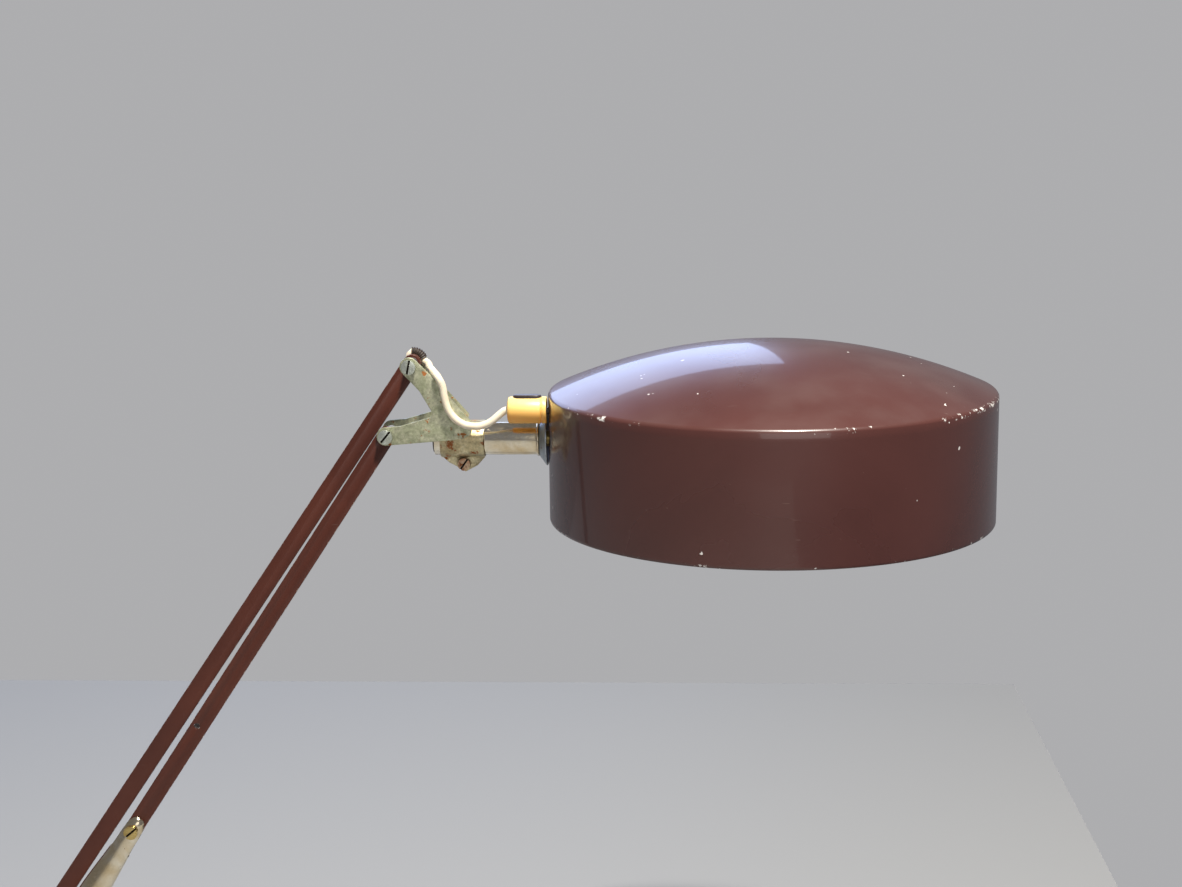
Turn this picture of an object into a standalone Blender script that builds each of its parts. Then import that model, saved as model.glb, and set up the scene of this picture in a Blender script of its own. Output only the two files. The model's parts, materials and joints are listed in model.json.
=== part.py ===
"""Architect desk lamp: parallel-bar arm on a weighted round base, with a drum shade."""
import math

import bmesh
import bpy
from mathutils import Matrix, Vector
from mathutils.geometry import tessellate_polygon

MM = 0.001

# Driving dimensions, in millimetres and degrees.
GAP = 0.3                    # play kept between neighbouring pieces
ARM_ANGLE = 56.2             # tilt of the arm above the horizontal
LINK_SPLAY = 0.75            # the rear bar runs this much flatter than the front one
ARM_LENGTH = 456.0           # lower pivot to fork pivot
SCREW_FROM_FORK = 306.0      # fork pivot to the brass screw in the barrel's nose
LOWER_PIVOT_Z = 74.0         # height of the arm's lower pivot
FORK_X, FORK_Z = 15.3, 42.7  # from the fork's lower pivot to its upper pivot
BAR_WIDTH, BAR_DEPTH, BAR_WALL = 11.0, 4.6, 1.0
PLATE_IN, PLATE_THICK = 11.6, 1.5    # half the space between the fork plates, and their sheet
TUBE_R, TUBE_WALL = 10.0, 1.2        # head tube
REAR_TRIM = 4.0              # the rear fork plate is this much narrower
TUBE_DROP = -3.6             # height of the head tube's axis above the fork's lower pivot
TUBE_START, TUBE_END = 28.6, 92.6
SHADE_R, SHADE_WALL = 135.0, 1.0
SHADE_HEIGHT, DOME_RISE = 77.6, 28.3
SHADE_X, RIM_Z = 233.5, 26.0         # shade's axis and its upper edge, from the fork's lower pivot
BARREL_R, BARREL_WALL = 9.2, 1.0
SCREW_R, HEAD_R, HEAD_H = 2.5, 4.4, 3.2
FLEX_R = 2.3                 # outer radius of the flex
BASE_R, BASE_TOP = 125.0, 17.0
DRUM_R, DRUM_TOP = 24.0, 50.0
SWITCH_R, SWITCH_LENGTH = 8.2, 23.5
SWITCH_Y = -15.0             # the switch sits in front of the head tube
COIL_R, COIL_WIDE, COIL_HIGH = 25.5, 3, 4    # mains lead's coil: middle radius, turns across and up
SWIVEL_R = 3.5               # shank of the bolt that the turntable swivels on
COIL_X, COIL_Y, COIL_LOW = -50.0, 200.0, 1.1
LEAD_Z = 8.0                 # height of the hole that the lead leaves the base by

# Depths: the front bar, the rear bar behind it and the barrel between.
FRONT_BAR_Y = -PLATE_IN + GAP
REAR_BAR_Y = 0.5
BARREL_Y = FRONT_BAR_Y + BAR_DEPTH / 2
BOOT_Y = 8.3
BOOT_REACH = 6.05            # the flex passes the upper screw at this radius
BOOT_START, BOOT_END = 95.0, 22.0    # angles of the boot's two ends round that screw

arm = Vector((math.cos(math.radians(ARM_ANGLE)), 0, math.sin(math.radians(ARM_ANGLE))))
side = Vector((-arm.z, 0, arm.x))    # square to the arm, towards its upper left
lowerPivot = Vector((0, 0, LOWER_PIVOT_Z))
forkLow = lowerPivot + ARM_LENGTH * arm
forkHigh = forkLow + Vector((FORK_X, 0, FORK_Z))
linkPivot = lowerPivot + Vector((FORK_X, 0, FORK_Z))
noseScrew = forkLow - SCREW_FROM_FORK * arm
tubeZ = forkLow.z + TUBE_DROP
shadeAxis = Vector((forkLow.x + SHADE_X, 0, forkLow.z + RIM_Z))
wallX = shadeAxis.x - SHADE_R
switchZ = forkLow.z + 16.6
switchEnd = wallX - 0.2
switchStart = switchEnd - SWITCH_LENGTH


# ---------------------------------------------------------------- helpers
def clear_scene():
    for obj in list(bpy.data.objects):
        bpy.data.objects.remove(obj, do_unlink=True)


def material(name, color, roughness, metallic=0.0):
    mat = bpy.data.materials.new(name)
    mat.use_nodes = True
    shader = mat.node_tree.nodes["Principled BSDF"]
    shader.inputs["Base Color"].default_value = (*color, 1)
    shader.inputs["Roughness"].default_value = roughness
    shader.inputs["Metallic"].default_value = metallic
    mat.diffuse_color = (*color, 1)
    return mat


FINISHES = {
    "enamel": ((0.095, 0.028, 0.022), 0.25, 0.0),
    "chrome": ((0.78, 0.76, 0.70), 0.15, 1.0),
    "zinc": ((0.46, 0.45, 0.32), 0.45, 1.0),
    "brass": ((0.60, 0.47, 0.24), 0.35, 1.0),
    "yellow": ((0.95, 0.62, 0.16), 0.35, 0.0),
    "dark": ((0.03, 0.028, 0.026), 0.45, 0.0),
    "flex": ((0.86, 0.80, 0.62), 0.45, 0.0),
    "iron": ((0.10, 0.10, 0.10), 0.7, 0.8),
    "felt": ((0.05, 0.06, 0.05), 0.95, 0.0),
    "glass": ((0.95, 0.95, 0.92), 0.1, 0.0),
    "ceramic": ((0.85, 0.83, 0.78), 0.3, 0.0),
    "steel": ((0.45, 0.45, 0.46), 0.35, 1.0),
}


def add_piece(name, bm, finish, origin=(0, 0, 0), sharp=35):
    """Turn a bmesh in world millimetres into an object with its origin on its joint."""
    bmesh.ops.recalc_face_normals(bm, faces=bm.faces)
    origin = Vector(origin)
    bm.transform(Matrix.Translation(-origin))
    bm.transform(Matrix.Scale(MM, 4))
    mesh = bpy.data.meshes.new(name)
    bm.to_mesh(mesh)
    bm.free()
    mesh.shade_smooth()
    mesh.set_sharp_from_angle(angle=math.radians(sharp))
    obj = bpy.data.objects.new(name, mesh)
    obj.location = origin * MM
    bpy.context.collection.objects.link(obj)
    obj.data.materials.append(material(name + "_finish", *FINISHES[finish]))
    return obj


def frame_for(axis):
    """Rotation that takes +Z to the given direction."""
    return Vector((0, 0, 1)).rotation_difference(Vector(axis).normalized()).to_matrix().to_4x4()


def turned(name, profile, finish, at=(0, 0, 0), axis=(0, 0, 1), segments=24, origin=None):
    """Turn a profile of (radius, height) points round an axis; radius 0 closes it on the axis."""
    bm = bmesh.new()
    rings = []
    for radius, height in profile:
        if radius == 0:
            rings.append([bm.verts.new((0, 0, height))])
            continue
        ring = []
        for k in range(segments):
            a = 2 * math.pi * k / segments
            ring.append(bm.verts.new((radius * math.cos(a), radius * math.sin(a), height)))
        rings.append(ring)
    pairs = list(zip(rings, rings[1:]))
    if len(rings[0]) > 1:
        pairs.append((rings[-1], rings[0]))
    for low, high in pairs:
        for k in range(segments):
            n = (k + 1) % segments
            corners = [low[k % len(low)], low[n % len(low)], high[n % len(high)], high[k % len(high)]]
            bm.faces.new(list(dict.fromkeys(corners)))
    bm.transform(Matrix.Translation(Vector(at)) @ frame_for(axis))
    return add_piece(name, bm, finish, at if origin is None else origin)


def washer(name, at, axis, outer, inner, thick, finish="zinc", segments=20, origin=None):
    profile = [(inner, 0), (outer, 0), (outer, thick), (inner, thick)]
    return turned(name, profile, finish, at, axis, segments, origin)


def circle(center, radius, count=16, start=0.0, sweep=360.0):
    """Points round a circle in the X-Z plane, or along part of it."""
    steps = count if sweep == 360 else count - 1
    points = []
    for k in range(count):
        a = math.radians(start + sweep * k / steps)
        points.append((center[0] + radius * math.cos(a), center[1] + radius * math.sin(a)))
    return points


def prism(name, outline, y_low, y_high, finish, holes=(), origin=(0, 0, 0)):
    """A sheet cut to an X-Z outline with holes, standing between two depths."""
    bm = bmesh.new()
    loops = [outline, *holes]
    flat = [Vector((x, z, 0)) for loop in loops for x, z in loop]
    near = [bm.verts.new((p.x, y_low, p.y)) for p in flat]
    far = [bm.verts.new((p.x, y_high, p.y)) for p in flat]
    for tri in tessellate_polygon([[Vector((x, z, 0)) for x, z in loop] for loop in loops]):
        bm.faces.new([near[i] for i in tri])
        bm.faces.new([far[i] for i in tri])
    start = 0
    for loop in loops:
        for k in range(len(loop)):
            a, b = start + k, start + (k + 1) % len(loop)
            bm.faces.new([near[a], near[b], far[b], far[a]])
        start += len(loop)
    return add_piece(name, bm, finish, origin)


def capsule(low, high, radius, count=9):
    """Outline of a flat bar with round ends between two points of the X-Z plane."""
    a = math.degrees(math.atan2(high[1] - low[1], high[0] - low[0]))
    return circle(high, radius, count, a - 90, 180) + circle(low, radius, count, a + 90, 180)


def nut(name, at, axis, corner, bore, thick, finish="zinc", origin=None):
    """Hexagon nut standing on the point, its hole round."""
    loops = [circle((0, 0), corner, 6), circle((0, 0), bore, 14)]
    flat = [Vector((x, y, 0)) for loop in loops for x, y in loop]
    bm = bmesh.new()
    low = [bm.verts.new(p) for p in flat]
    high = [bm.verts.new(p + Vector((0, 0, thick))) for p in flat]
    for tri in tessellate_polygon([[Vector((x, y, 0)) for x, y in loop] for loop in loops]):
        bm.faces.new([low[i] for i in tri])
        bm.faces.new([high[i] for i in tri])
    start = 0
    for loop in loops:
        for k in range(len(loop)):
            a, b = start + k, start + (k + 1) % len(loop)
            bm.faces.new([low[a], low[b], high[b], high[a]])
        start += len(loop)
    bm.transform(Matrix.Translation(Vector(at)) @ frame_for(axis))
    return add_piece(name, bm, finish, at if origin is None else origin, 20)


def cut(target, cutter):
    """Cut one piece with another, which stays as a hidden guide."""
    cutter.hide_render = True
    cutter.display_type = "WIRE"
    boolean = target.modifiers.new("cut_" + cutter.name, "BOOLEAN")
    boolean.operation = "DIFFERENCE"
    boolean.object = cutter


def box(name, low, high, finish="dark", turn=None, origin=(0, 0, 0)):
    bm = bmesh.new()
    bmesh.ops.create_cube(bm, size=1)
    low, high = Vector(low), Vector(high)
    size = high - low
    bm.transform(Matrix.Translation((low + high) / 2) @ Matrix.Diagonal((*size, 1)))
    if turn is not None:
        bm.transform(turn)
    return add_piece(name, bm, finish, origin)


def channel(name, low, high, y_front, finish, origin, hole_points):
    """Pressed bar of U section: web in front, flanges to the rear, round closed ends."""
    outer = capsule(low, high, BAR_WIDTH / 2)
    holes = [circle(p, r, 14) for p, r in hole_points]
    bar = prism(name, outer, y_front, y_front + BAR_DEPTH, finish, holes, origin)
    inner = capsule(low, high, BAR_WIDTH / 2 - BAR_WALL)
    pocket = prism(name + "_pocket", inner, y_front + BAR_WALL, y_front + BAR_DEPTH + 1, finish)
    cut(bar, pocket)
    return bar


def slotted_screw(name, at, y_head, y_end, finish, slot_angle, origin, head=HEAD_R):
    """Cheese-head screw along +Y, its head towards the front and the slot across it."""
    top = y_head - HEAD_H
    profile = [(0, top), (head - 0.5, top), (head, top + 0.5), (head, y_head)]
    profile += [(SCREW_R, y_head), (SCREW_R, y_end), (0, y_end)]
    screw = turned(name, profile, finish, (at[0], 0, at[1]), (0, 1, 0), 20, origin)
    turn = Matrix.Translation((at[0], top, at[1])) @ Matrix.Rotation(math.radians(-slot_angle), 4, "Y")
    slot = box(name + "_slot", (-head - 1, -1, -0.55), (head + 1, 1.3, 0.55), finish, turn)
    cut(screw, slot)
    return screw


def smooth_route(points, spacing):
    """Even points along a Catmull-Rom curve through the route's own points."""
    pts = [Vector(p) for p in points]
    pts = [2 * pts[0] - pts[1], *pts, 2 * pts[-1] - pts[-2]]
    fine = []
    for p0, p1, p2, p3 in zip(pts, pts[1:], pts[2:], pts[3:]):
        for k in range(20):
            t = k / 20
            fine.append(0.5 * (2 * p1 + (p2 - p0) * t + (2 * p0 - 5 * p1 + 4 * p2 - p3) * t * t
                               + (3 * p1 - p0 - 3 * p2 + p3) * t ** 3))
    fine.append(pts[-2])
    total = sum((b - a).length for a, b in zip(fine, fine[1:]))
    count = max(3, round(total / spacing))
    even, walked, step = [fine[0]], 0.0, total / count
    for a, b in zip(fine, fine[1:]):
        length = (b - a).length
        while len(even) < count and walked + length >= step * len(even) - 1e-9:
            even.append(a.lerp(b, (step * len(even) - walked) / length))
        walked += length
    even.append(fine[-1])
    return even


def flex(name, route, finish="flex", radius=FLEX_R, spacing=8.0, origin=(0, 0, 0)):
    """A stretch of round flex along a smooth route."""
    origin = Vector(origin)
    curve = bpy.data.curves.new(name, "CURVE")
    curve.dimensions = "3D"
    curve.bevel_depth = radius * MM
    curve.bevel_resolution = 2
    curve.render_resolution_u = 0
    curve.use_fill_caps = True
    spline = curve.splines.new("POLY")
    points = smooth_route(route, spacing)
    spline.points.add(len(points) - 1)
    for target, point in zip(spline.points, points):
        target.co = (*((point - origin) * MM), 1)
    obj = bpy.data.objects.new(name, curve)
    obj.location = origin * MM
    bpy.context.collection.objects.link(obj)
    curve.materials.append(material(name + "_finish", *FINISHES[finish]))
    return obj


def xz(v):
    return (v.x, v.z)


# ---------------------------------------------------------------- base
def make_base():
    edge = circle((BASE_R - 5, BASE_TOP - 5), 5, 5, 0, 90)
    inner_top = BASE_TOP - 1.5
    bore = SWIVEL_R + GAP
    cover = [(BASE_R, 1.0), *edge, (bore, BASE_TOP), (bore, inner_top)]
    cover += [(BASE_R - 6, inner_top), (BASE_R - 2, inner_top - 4), (BASE_R - 2, 1.0)]
    shell = turned("base_cover", cover, "enamel", segments=44)
    cut(shell, turned("gland_hole", [(0, -6), (4.3, -6), (4.3, 6), (0, 6)], "dark",
                      (0, BASE_R - 1, 8), (0, 1, 0), 16))
    cut(shell, turned("flex_hole", [(0, 0), (4, 0), (4, 30), (0, 30)], "dark", (*GROMMET, 0), segments=16))
    body_top = inner_top - GAP
    ballast = [(bore, 8.3), (13, 8.3), (13, 2.3), (BASE_R - 4, 2.3), (BASE_R - 4, body_top - 4.5),
               (BASE_R - 8.5, body_top), (bore, body_top)]
    iron = turned("base_ballast", ballast, "iron", segments=32)
    cut(iron, box("lead_channel", (-10.2, 12, 3.7), (4.2, BASE_R, 12.3)))
    cut(iron, box("lead_well", (-10, 11, 9), (0, 27, 30)))
    turned("base_pad", [(0, 0), (BASE_R - 3, 0), (BASE_R - 3, 2.0), (0, 2.0)], "felt", segments=32)


def make_post():
    low = BASE_TOP + GAP
    drum = [(DRUM_R - 2, low), (DRUM_R + 3, low), (DRUM_R + 3, low + 2), (DRUM_R, low + 4),
            (DRUM_R, DRUM_TOP), (DRUM_R - 2, DRUM_TOP)]
    turned("post_drum", drum, "chrome", segments=28)
    top = DRUM_TOP + 3.0 + 2 * GAP
    bolt = [(0, top + 4), (5.4, top + 4), (5.9, top + 3.5), (5.9, top), (SWIVEL_R, top), (SWIVEL_R, 3.0), (0, 3.0)]
    turned("swivel_bolt", bolt[::-1], "steel", segments=20)
    nut("swivel_nut", (0, 0, 3.0), (0, 0, 1), 7.0, SWIVEL_R + GAP, 5.0, "steel")


# ---------------------------------------------------------------- turntable
YOKE_FRONT_Y = BARREL_Y - BARREL_R - 0.6
YOKE_REAR_Y = REAR_BAR_Y + BAR_DEPTH + 1.2
GROMMET = (-5.0, 14.5)


def make_turntable():
    low = DRUM_TOP + GAP
    top = low + 3.0
    bore = SWIVEL_R + GAP
    plate = [(bore, low), (DRUM_R, low), (DRUM_R, top - 0.6), (DRUM_R - 0.6, top), (bore, top)]
    disc = turned("turntable", plate, "zinc", segments=28)
    hole = turned("grommet_hole", [(0, low - 2), (3.8, low - 2), (3.8, top + 2), (0, top + 2)], "dark",
                  (*GROMMET, 0), segments=16)
    cut(disc, hole)
    foot = top + GAP
    pin = [circle(xz(lowerPivot), 2.65, 14)]
    front = [(-13, foot), (13, foot)] + circle(xz(lowerPivot), 9, 11, 0, 180)
    prism("yoke_front", front, YOKE_FRONT_Y - 2, YOKE_FRONT_Y, "zinc", pin, lowerPivot)
    rear = [(-13, foot), (13, foot), (linkPivot.x + 8, linkPivot.z - 6)]
    rear += circle(xz(linkPivot), 8, 9, -10, 170) + circle(xz(lowerPivot), 12, 5, 140, 40)
    holes = pin + [circle(xz(linkPivot), 2.65, 14)]
    prism("yoke_rear", rear, YOKE_REAR_Y, YOKE_REAR_Y + 2, "zinc", holes, lowerPivot)
    slotted_screw("lower_pivot_screw", xz(lowerPivot), YOKE_FRONT_Y - 2 - GAP, YOKE_REAR_Y + 6.5,
                  "zinc", 40, lowerPivot)
    nut("lower_pivot_nut", (0, YOKE_REAR_Y + 2 + GAP, lowerPivot.z), (0, 1, 0), 4.6, 2.7, 3.6)
    stud = [(0, REAR_BAR_Y + 0.2), (SCREW_R, REAR_BAR_Y + 0.2), (SCREW_R, YOKE_REAR_Y + 2 + GAP),
            (4.0, YOKE_REAR_Y + 2 + GAP), (4.0, YOKE_REAR_Y + 4.5), (0, YOKE_REAR_Y + 4.5)]
    turned("link_stud", stud, "zinc", (linkPivot.x, 0, linkPivot.z), (0, 1, 0), 18)
    collar = [(FLEX_R + GAP, low - 1.2), (5.2, low - 1.2), (5.2, low - GAP), (3.5, low - GAP), (3.5, top + GAP),
              (5.2, top + GAP), (4.6, top + 1.6), (FLEX_R + GAP, top + 1.6)]
    turned("flex_grommet", collar, "dark", (*GROMMET, 0), segments=18)


# ---------------------------------------------------------------- arm
def make_arm():
    tail = noseScrew - 13 * arm
    small_hole = forkLow - 224.0 * arm + 1.5 * side
    holes = [(xz(forkLow), 2.65), (xz(noseScrew), 2.65), (xz(small_hole), 1.9)]
    channel("arm_bar", xz(tail), xz(forkLow), FRONT_BAR_Y, "enamel", lowerPivot, holes)
    foot = lowerPivot + Vector((0, BARREL_Y, 0))
    nose = ARM_LENGTH - SCREW_FROM_FORK
    outside = [(BARREL_R, 14), (BARREL_R, nose - 58), (8.3, nose - 30), (6.6, nose - 6), (6.2, nose + 2),
               (5.2, nose + 6.5), (3.2, nose + 8.8)]
    inside = [(2.0, nose + 7.2), (4.0, nose + 5.4), (5.1, nose + 1), (5.6, nose - 6), (7.3, nose - 30),
              (BARREL_R - BARREL_WALL, nose - 58), (BARREL_R - BARREL_WALL, 14)]
    barrel = turned("spring_barrel", outside + inside, "chrome", foot, arm, 24, lowerPivot)
    turn = Matrix.Translation(noseScrew + Vector((0, BARREL_Y, 0))) @ frame_for(arm)
    half = BAR_DEPTH / 2 + GAP
    cut(barrel, box("nose_slot", (-12, -half, -19.0), (12, half, 12), "chrome", turn))
    pin = [(0, -12), (2.65, -12), (2.65, 12), (0, 12)]
    cut(barrel, turned("nose_bore", pin, "chrome", noseScrew + Vector((0, BARREL_Y, 0)), (0, 1, 0), 16))
    slotted_screw("nose_screw", xz(noseScrew), BARREL_Y - 6.6, BARREL_Y + 8.4, "brass", 40, lowerPivot)
    nut("nose_nut", (noseScrew.x, BARREL_Y + 6.6, noseScrew.z), (0, 1, 0), 4.4, 2.7, 1.6, "brass", lowerPivot)
    # The barrel's spring keeps the plug pressed on the eye that carries the arm on its pin.
    bore = BARREL_R - BARREL_WALL - GAP
    plug = [(0, 9.5), (4.0, 9.5), (6.8, 12), (BARREL_R, 12.0), (BARREL_R, 13.7), (bore, 13.7), (bore, 24), (0, 24)]
    turned("barrel_plug", plug, "chrome", foot, arm, 24, lowerPivot)
    eye = []
    for k in range(13):
        a = math.radians(ARM_ANGLE + 30 + 25 * k)
        eye.append((lowerPivot.x + 8.2 * math.cos(a), lowerPivot.z + 8.2 * math.sin(a)))
    eye.append(xz(lowerPivot + 9.2 * arm - 4.1 * side))
    eye.append(xz(lowerPivot + 9.2 * arm + 4.1 * side))
    prism("pivot_eye", eye, BARREL_Y - 4, BARREL_Y + 4, "steel", [circle(xz(lowerPivot), 2.65, 14)], lowerPivot)
    make_spring(foot, 25.3, 112.0)


def make_spring(foot, start, end):
    """Round-wire compression spring along the barrel."""
    wire, mean, turns, sides, steps = 0.9, 6.2, 9, 5, 8
    bm = bmesh.new()
    rings = []
    count = turns * steps
    for k in range(count + 1):
        a = 2 * math.pi * k / steps
        center = Vector((mean * math.cos(a), mean * math.sin(a), start + (end - start) * k / count))
        outward = Vector((math.cos(a), math.sin(a), 0))
        ring = []
        for s in range(sides):
            b = 2 * math.pi * s / sides
            ring.append(bm.verts.new(center + wire * (math.cos(b) * outward + math.sin(b) * Vector((0, 0, 1)))))
        rings.append(ring)
    for low, high in zip(rings, rings[1:]):
        for s in range(sides):
            n = (s + 1) % sides
            bm.faces.new([low[s], low[n], high[n], high[s]])
    bm.faces.new(rings[0])
    bm.faces.new(rings[-1])
    bm.transform(Matrix.Translation(foot) @ frame_for(arm))
    add_piece("brake_spring", bm, "steel", lowerPivot)


# ---------------------------------------------------------------- rear bar
def make_link():
    a = math.radians(ARM_ANGLE - LINK_SPLAY)
    run = Vector((math.cos(a), 0, math.sin(a)))
    low_end = forkHigh - (ARM_LENGTH - 8) * run
    holes = [(xz(forkHigh), 2.65)]
    bar = channel("link_bar", xz(low_end), xz(forkHigh), REAR_BAR_Y, "enamel", linkPivot, holes)
    mouth = capsule(xz(linkPivot), xz(low_end + 14 * run), 4.5)
    cut(bar, prism("link_mouth", mouth, REAR_BAR_Y + BAR_WALL, REAR_BAR_Y + BAR_DEPTH + 1, "zinc"))
    # The foot reaches from the end of the bar to its own pivot.
    foot = capsule(xz(linkPivot), xz(low_end + 14 * run), 4.2)
    y_low = REAR_BAR_Y + BAR_WALL + GAP
    prism("link_foot", foot, y_low, y_low + 3.2, "zinc", [circle(xz(linkPivot), 2.65, 14)], linkPivot)
    return bar, run, low_end


# ---------------------------------------------------------------- fork and clamp
def fork_outline(trim):
    """Three-cornered plate: an eye at each pivot and a straight edge down to the clamp."""
    lx, lz = xz(forkLow)
    hx, hz = xz(forkHigh)
    eye = 5.7
    points = circle((hx, hz), eye, 9, 45, 170)
    points += [(lx + 21.3, lz + 27.8)]
    points += circle((lx + 26.4, lz + 14.0), 2.4, 4, 20, -95)
    points += [(lx + 9.1, lz + 6.4)]
    points += circle((lx, lz), eye, 9, 100, 165)
    points += [(lx + 38.7, lz - 2.4), (lx + 46.6, lz - 1.4)]
    points += circle((lx + 48.4 - trim, lz + 3.6), 4.0, 5, -50, 90)
    points += [(lx + 52.3 - trim, lz + 9.4), (lx + 38.2 - trim, lz + 25.3), (lx + 29.4 - trim, lz + 36.4)]
    return points


def make_fork():
    holes = [circle(xz(forkLow), 2.65, 14), circle(xz(forkHigh), 2.65, 14)]
    outer = PLATE_IN + PLATE_THICK
    prism("fork_plate_front", fork_outline(0), -outer, -PLATE_IN, "zinc", holes, forkLow)
    prism("fork_plate_rear", fork_outline(REAR_TRIM), PLATE_IN, outer, "zinc", holes, forkLow)
    x, z = xz(forkHigh)
    slotted_screw("fork_screw_upper", (x, z), -outer - GAP, outer + 5.2, "zinc", 78, forkLow)
    nut("fork_nut_upper", (x, outer + GAP, z), (0, 1, 0), 4.8, 2.7, 3.8, "zinc", forkLow)
    start = -PLATE_IN + GAP
    washer("upper_spacer", (x, start, z), (0, 1, 0), 4.0, 2.65, REAR_BAR_Y - GAP - start, "steel", 18, forkLow)
    x, z = xz(forkLow)
    back = FRONT_BAR_Y + BAR_DEPTH
    slotted_screw("fork_screw_lower", (x, z), -outer - GAP, back + 4.6, "zinc", 50, forkLow)
    nut("fork_nut_lower", (x, back + GAP, z), (0, 1, 0), 4.8, 2.7, 3.6, "zinc", forkLow)
    make_boot()


def make_boot():
    """Ribbed rubber sleeve that leads the flex over the upper screw."""
    bm = bmesh.new()
    sides, steps = 10, 10
    grids = []
    for inner in (False, True):
        rings = []
        for k in range(steps + 1):
            a = math.radians(BOOT_START + (BOOT_END - BOOT_START) * k / steps)
            outward = Vector((math.cos(a), 0, math.sin(a)))
            center = forkHigh + BOOT_REACH * outward + Vector((0, BOOT_Y, 0))
            radius = FLEX_R + 0.25 if inner else (3.1 if k % 4 < 2 else 2.85)
            rings.append([bm.verts.new(center + radius * (math.cos(b) * outward + math.sin(b) * Vector((0, 1, 0))))
                          for b in (2 * math.pi * s / sides for s in range(sides))])
        grids.append(rings)
    for rings in grids:
        for low, high in zip(rings, rings[1:]):
            for s in range(sides):
                n = (s + 1) % sides
                bm.faces.new([low[s], low[n], high[n], high[s]])
    for end in (0, -1):
        for s in range(sides):
            n = (s + 1) % sides
            bm.faces.new([grids[0][end][s], grids[0][end][n], grids[1][end][n], grids[1][end][s]])
    add_piece("flex_boot", bm, "dark", forkLow, 60)


def make_clamp():
    """Two half shells round the head tube, pulled together by a screw through their ears."""
    left, right = forkLow.x + 32.4, forkLow.x + 59.2
    inner, outer = TUBE_R + GAP, PLATE_IN - GAP
    for name, sign in (("clamp_front", -1), ("clamp_rear", 1)):
        bm = bmesh.new()
        section = []
        split = 0.35
        for k in range(12):
            a = math.pi * k / 12
            section.append((outer * math.sin(a) + split, outer * math.cos(a)))
        section += [(1.4 + split, -outer - 0.1), (1.4 + split, -23.0), (split, -23.0), (split, -inner)]
        for k in range(11, 0, -1):
            a = math.pi * k / 12
            section.append((inner * math.sin(a) + split, inner * math.cos(a)))
        section.append((split, inner))
        ends = []
        for x in (left, right):
            ends.append([bm.verts.new((x, sign * y, tubeZ + z)) for y, z in section])
        count = len(section)
        for k in range(count):
            n = (k + 1) % count
            bm.faces.new([ends[0][k], ends[0][n], ends[1][n], ends[1][k]])
        caps = tessellate_polygon([[Vector((y, z, 0)) for y, z in section]])
        for end in ends:
            for tri in caps:
                bm.faces.new([end[i] for i in tri])
        shell = add_piece(name, bm, "zinc", forkLow)
        trim_ears(shell, name, left, right)
        cut(shell, turned(name + "_bore", [(0, -9), (2.65, -9), (2.65, 9), (0, 9)], "zinc",
                          (forkLow.x + 46.2, 0, tubeZ - 15.4), (0, 1, 0), 16))


def trim_ears(shell, name, left, right):
    """Cut the ears' lower corners so that they narrow round the screw."""
    x, low, top = forkLow.x, tubeZ - 30, tubeZ - PLATE_IN + 0.4
    tip = (x + 47.0, tubeZ - 20.4)
    left_cut = [(left - 5, low), (tip[0], low), tip, (x + 41.0, tubeZ - 16.8), (x + 37.3, tubeZ - 14.9),
                (left + 0.6, top), (left - 5, top)]
    right_cut = [(right + 5, low), (right + 5, top), (right, top), (x + 54.5, tubeZ - 16.4), tip, (tip[0], low)]
    cut(shell, prism(name + "_trim_left", left_cut, -6, 6, "zinc"))
    cut(shell, prism(name + "_trim_right", right_cut, -6, 6, "zinc"))


def make_clamp_screw():
    at = (forkLow.x + 46.2, tubeZ - 15.4)
    slotted_screw("clamp_screw", at, -2.1, 6.8, "zinc", 55, forkLow, 3.8)
    nut("clamp_nut", (at[0], 2.1, at[1]), (0, 1, 0), 4.0, 2.7, 3.6, "zinc", forkLow)


# ---------------------------------------------------------------- head
def make_head_tube():
    start, end = forkLow.x + TUBE_START, forkLow.x + TUBE_END
    axis = Vector((0, 0, tubeZ))
    along = (1, 0, 0)
    inner = TUBE_R - TUBE_WALL
    tube = [(inner, start), (TUBE_R, start), (TUBE_R, end - 1.6), (TUBE_R + 0.9, end - 0.8), (TUBE_R + 0.9, end),
            (inner, end)]
    turned("head_tube", tube, "chrome", axis, along, 24)
    fit = inner - GAP
    cap = [(0, start - 0.8), (fit, start - 0.8), (fit, start + 6), (0, start + 6)]
    turned("tube_cap", cap, "dark", axis, along, 24)
    bush = [(5.3, end - 10), (fit, end - 10), (fit, end - GAP), (5.3, end - GAP)]
    turned("tube_bush", bush, "steel", axis, along, 24)
    nipple = [(3.6, end - 14), (5.0, end - 14), (5.0, wallX + 20), (3.6, wallX + 20)]
    turned("head_nipple", nipple, "brass", axis, along, 20)
    cup = [(5.3, end + 0.4), (11.0, end + 0.4), (16.4, wallX - 1.6), (16.4, wallX - 0.7), (10.6, end + 1.6),
           (5.3, end + 1.6)]
    turned("wall_washer_outer", cup, "steel", axis, along, 24)
    washer("wall_washer_inner", (wallX + 3.2, 0, tubeZ), along, 13, 5.3, 1.2, "steel", 24)
    nut("nipple_nut_right", (wallX + 4.7, 0, tubeZ), along, 8.0, 5.3, 3.0, "brass")


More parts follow.
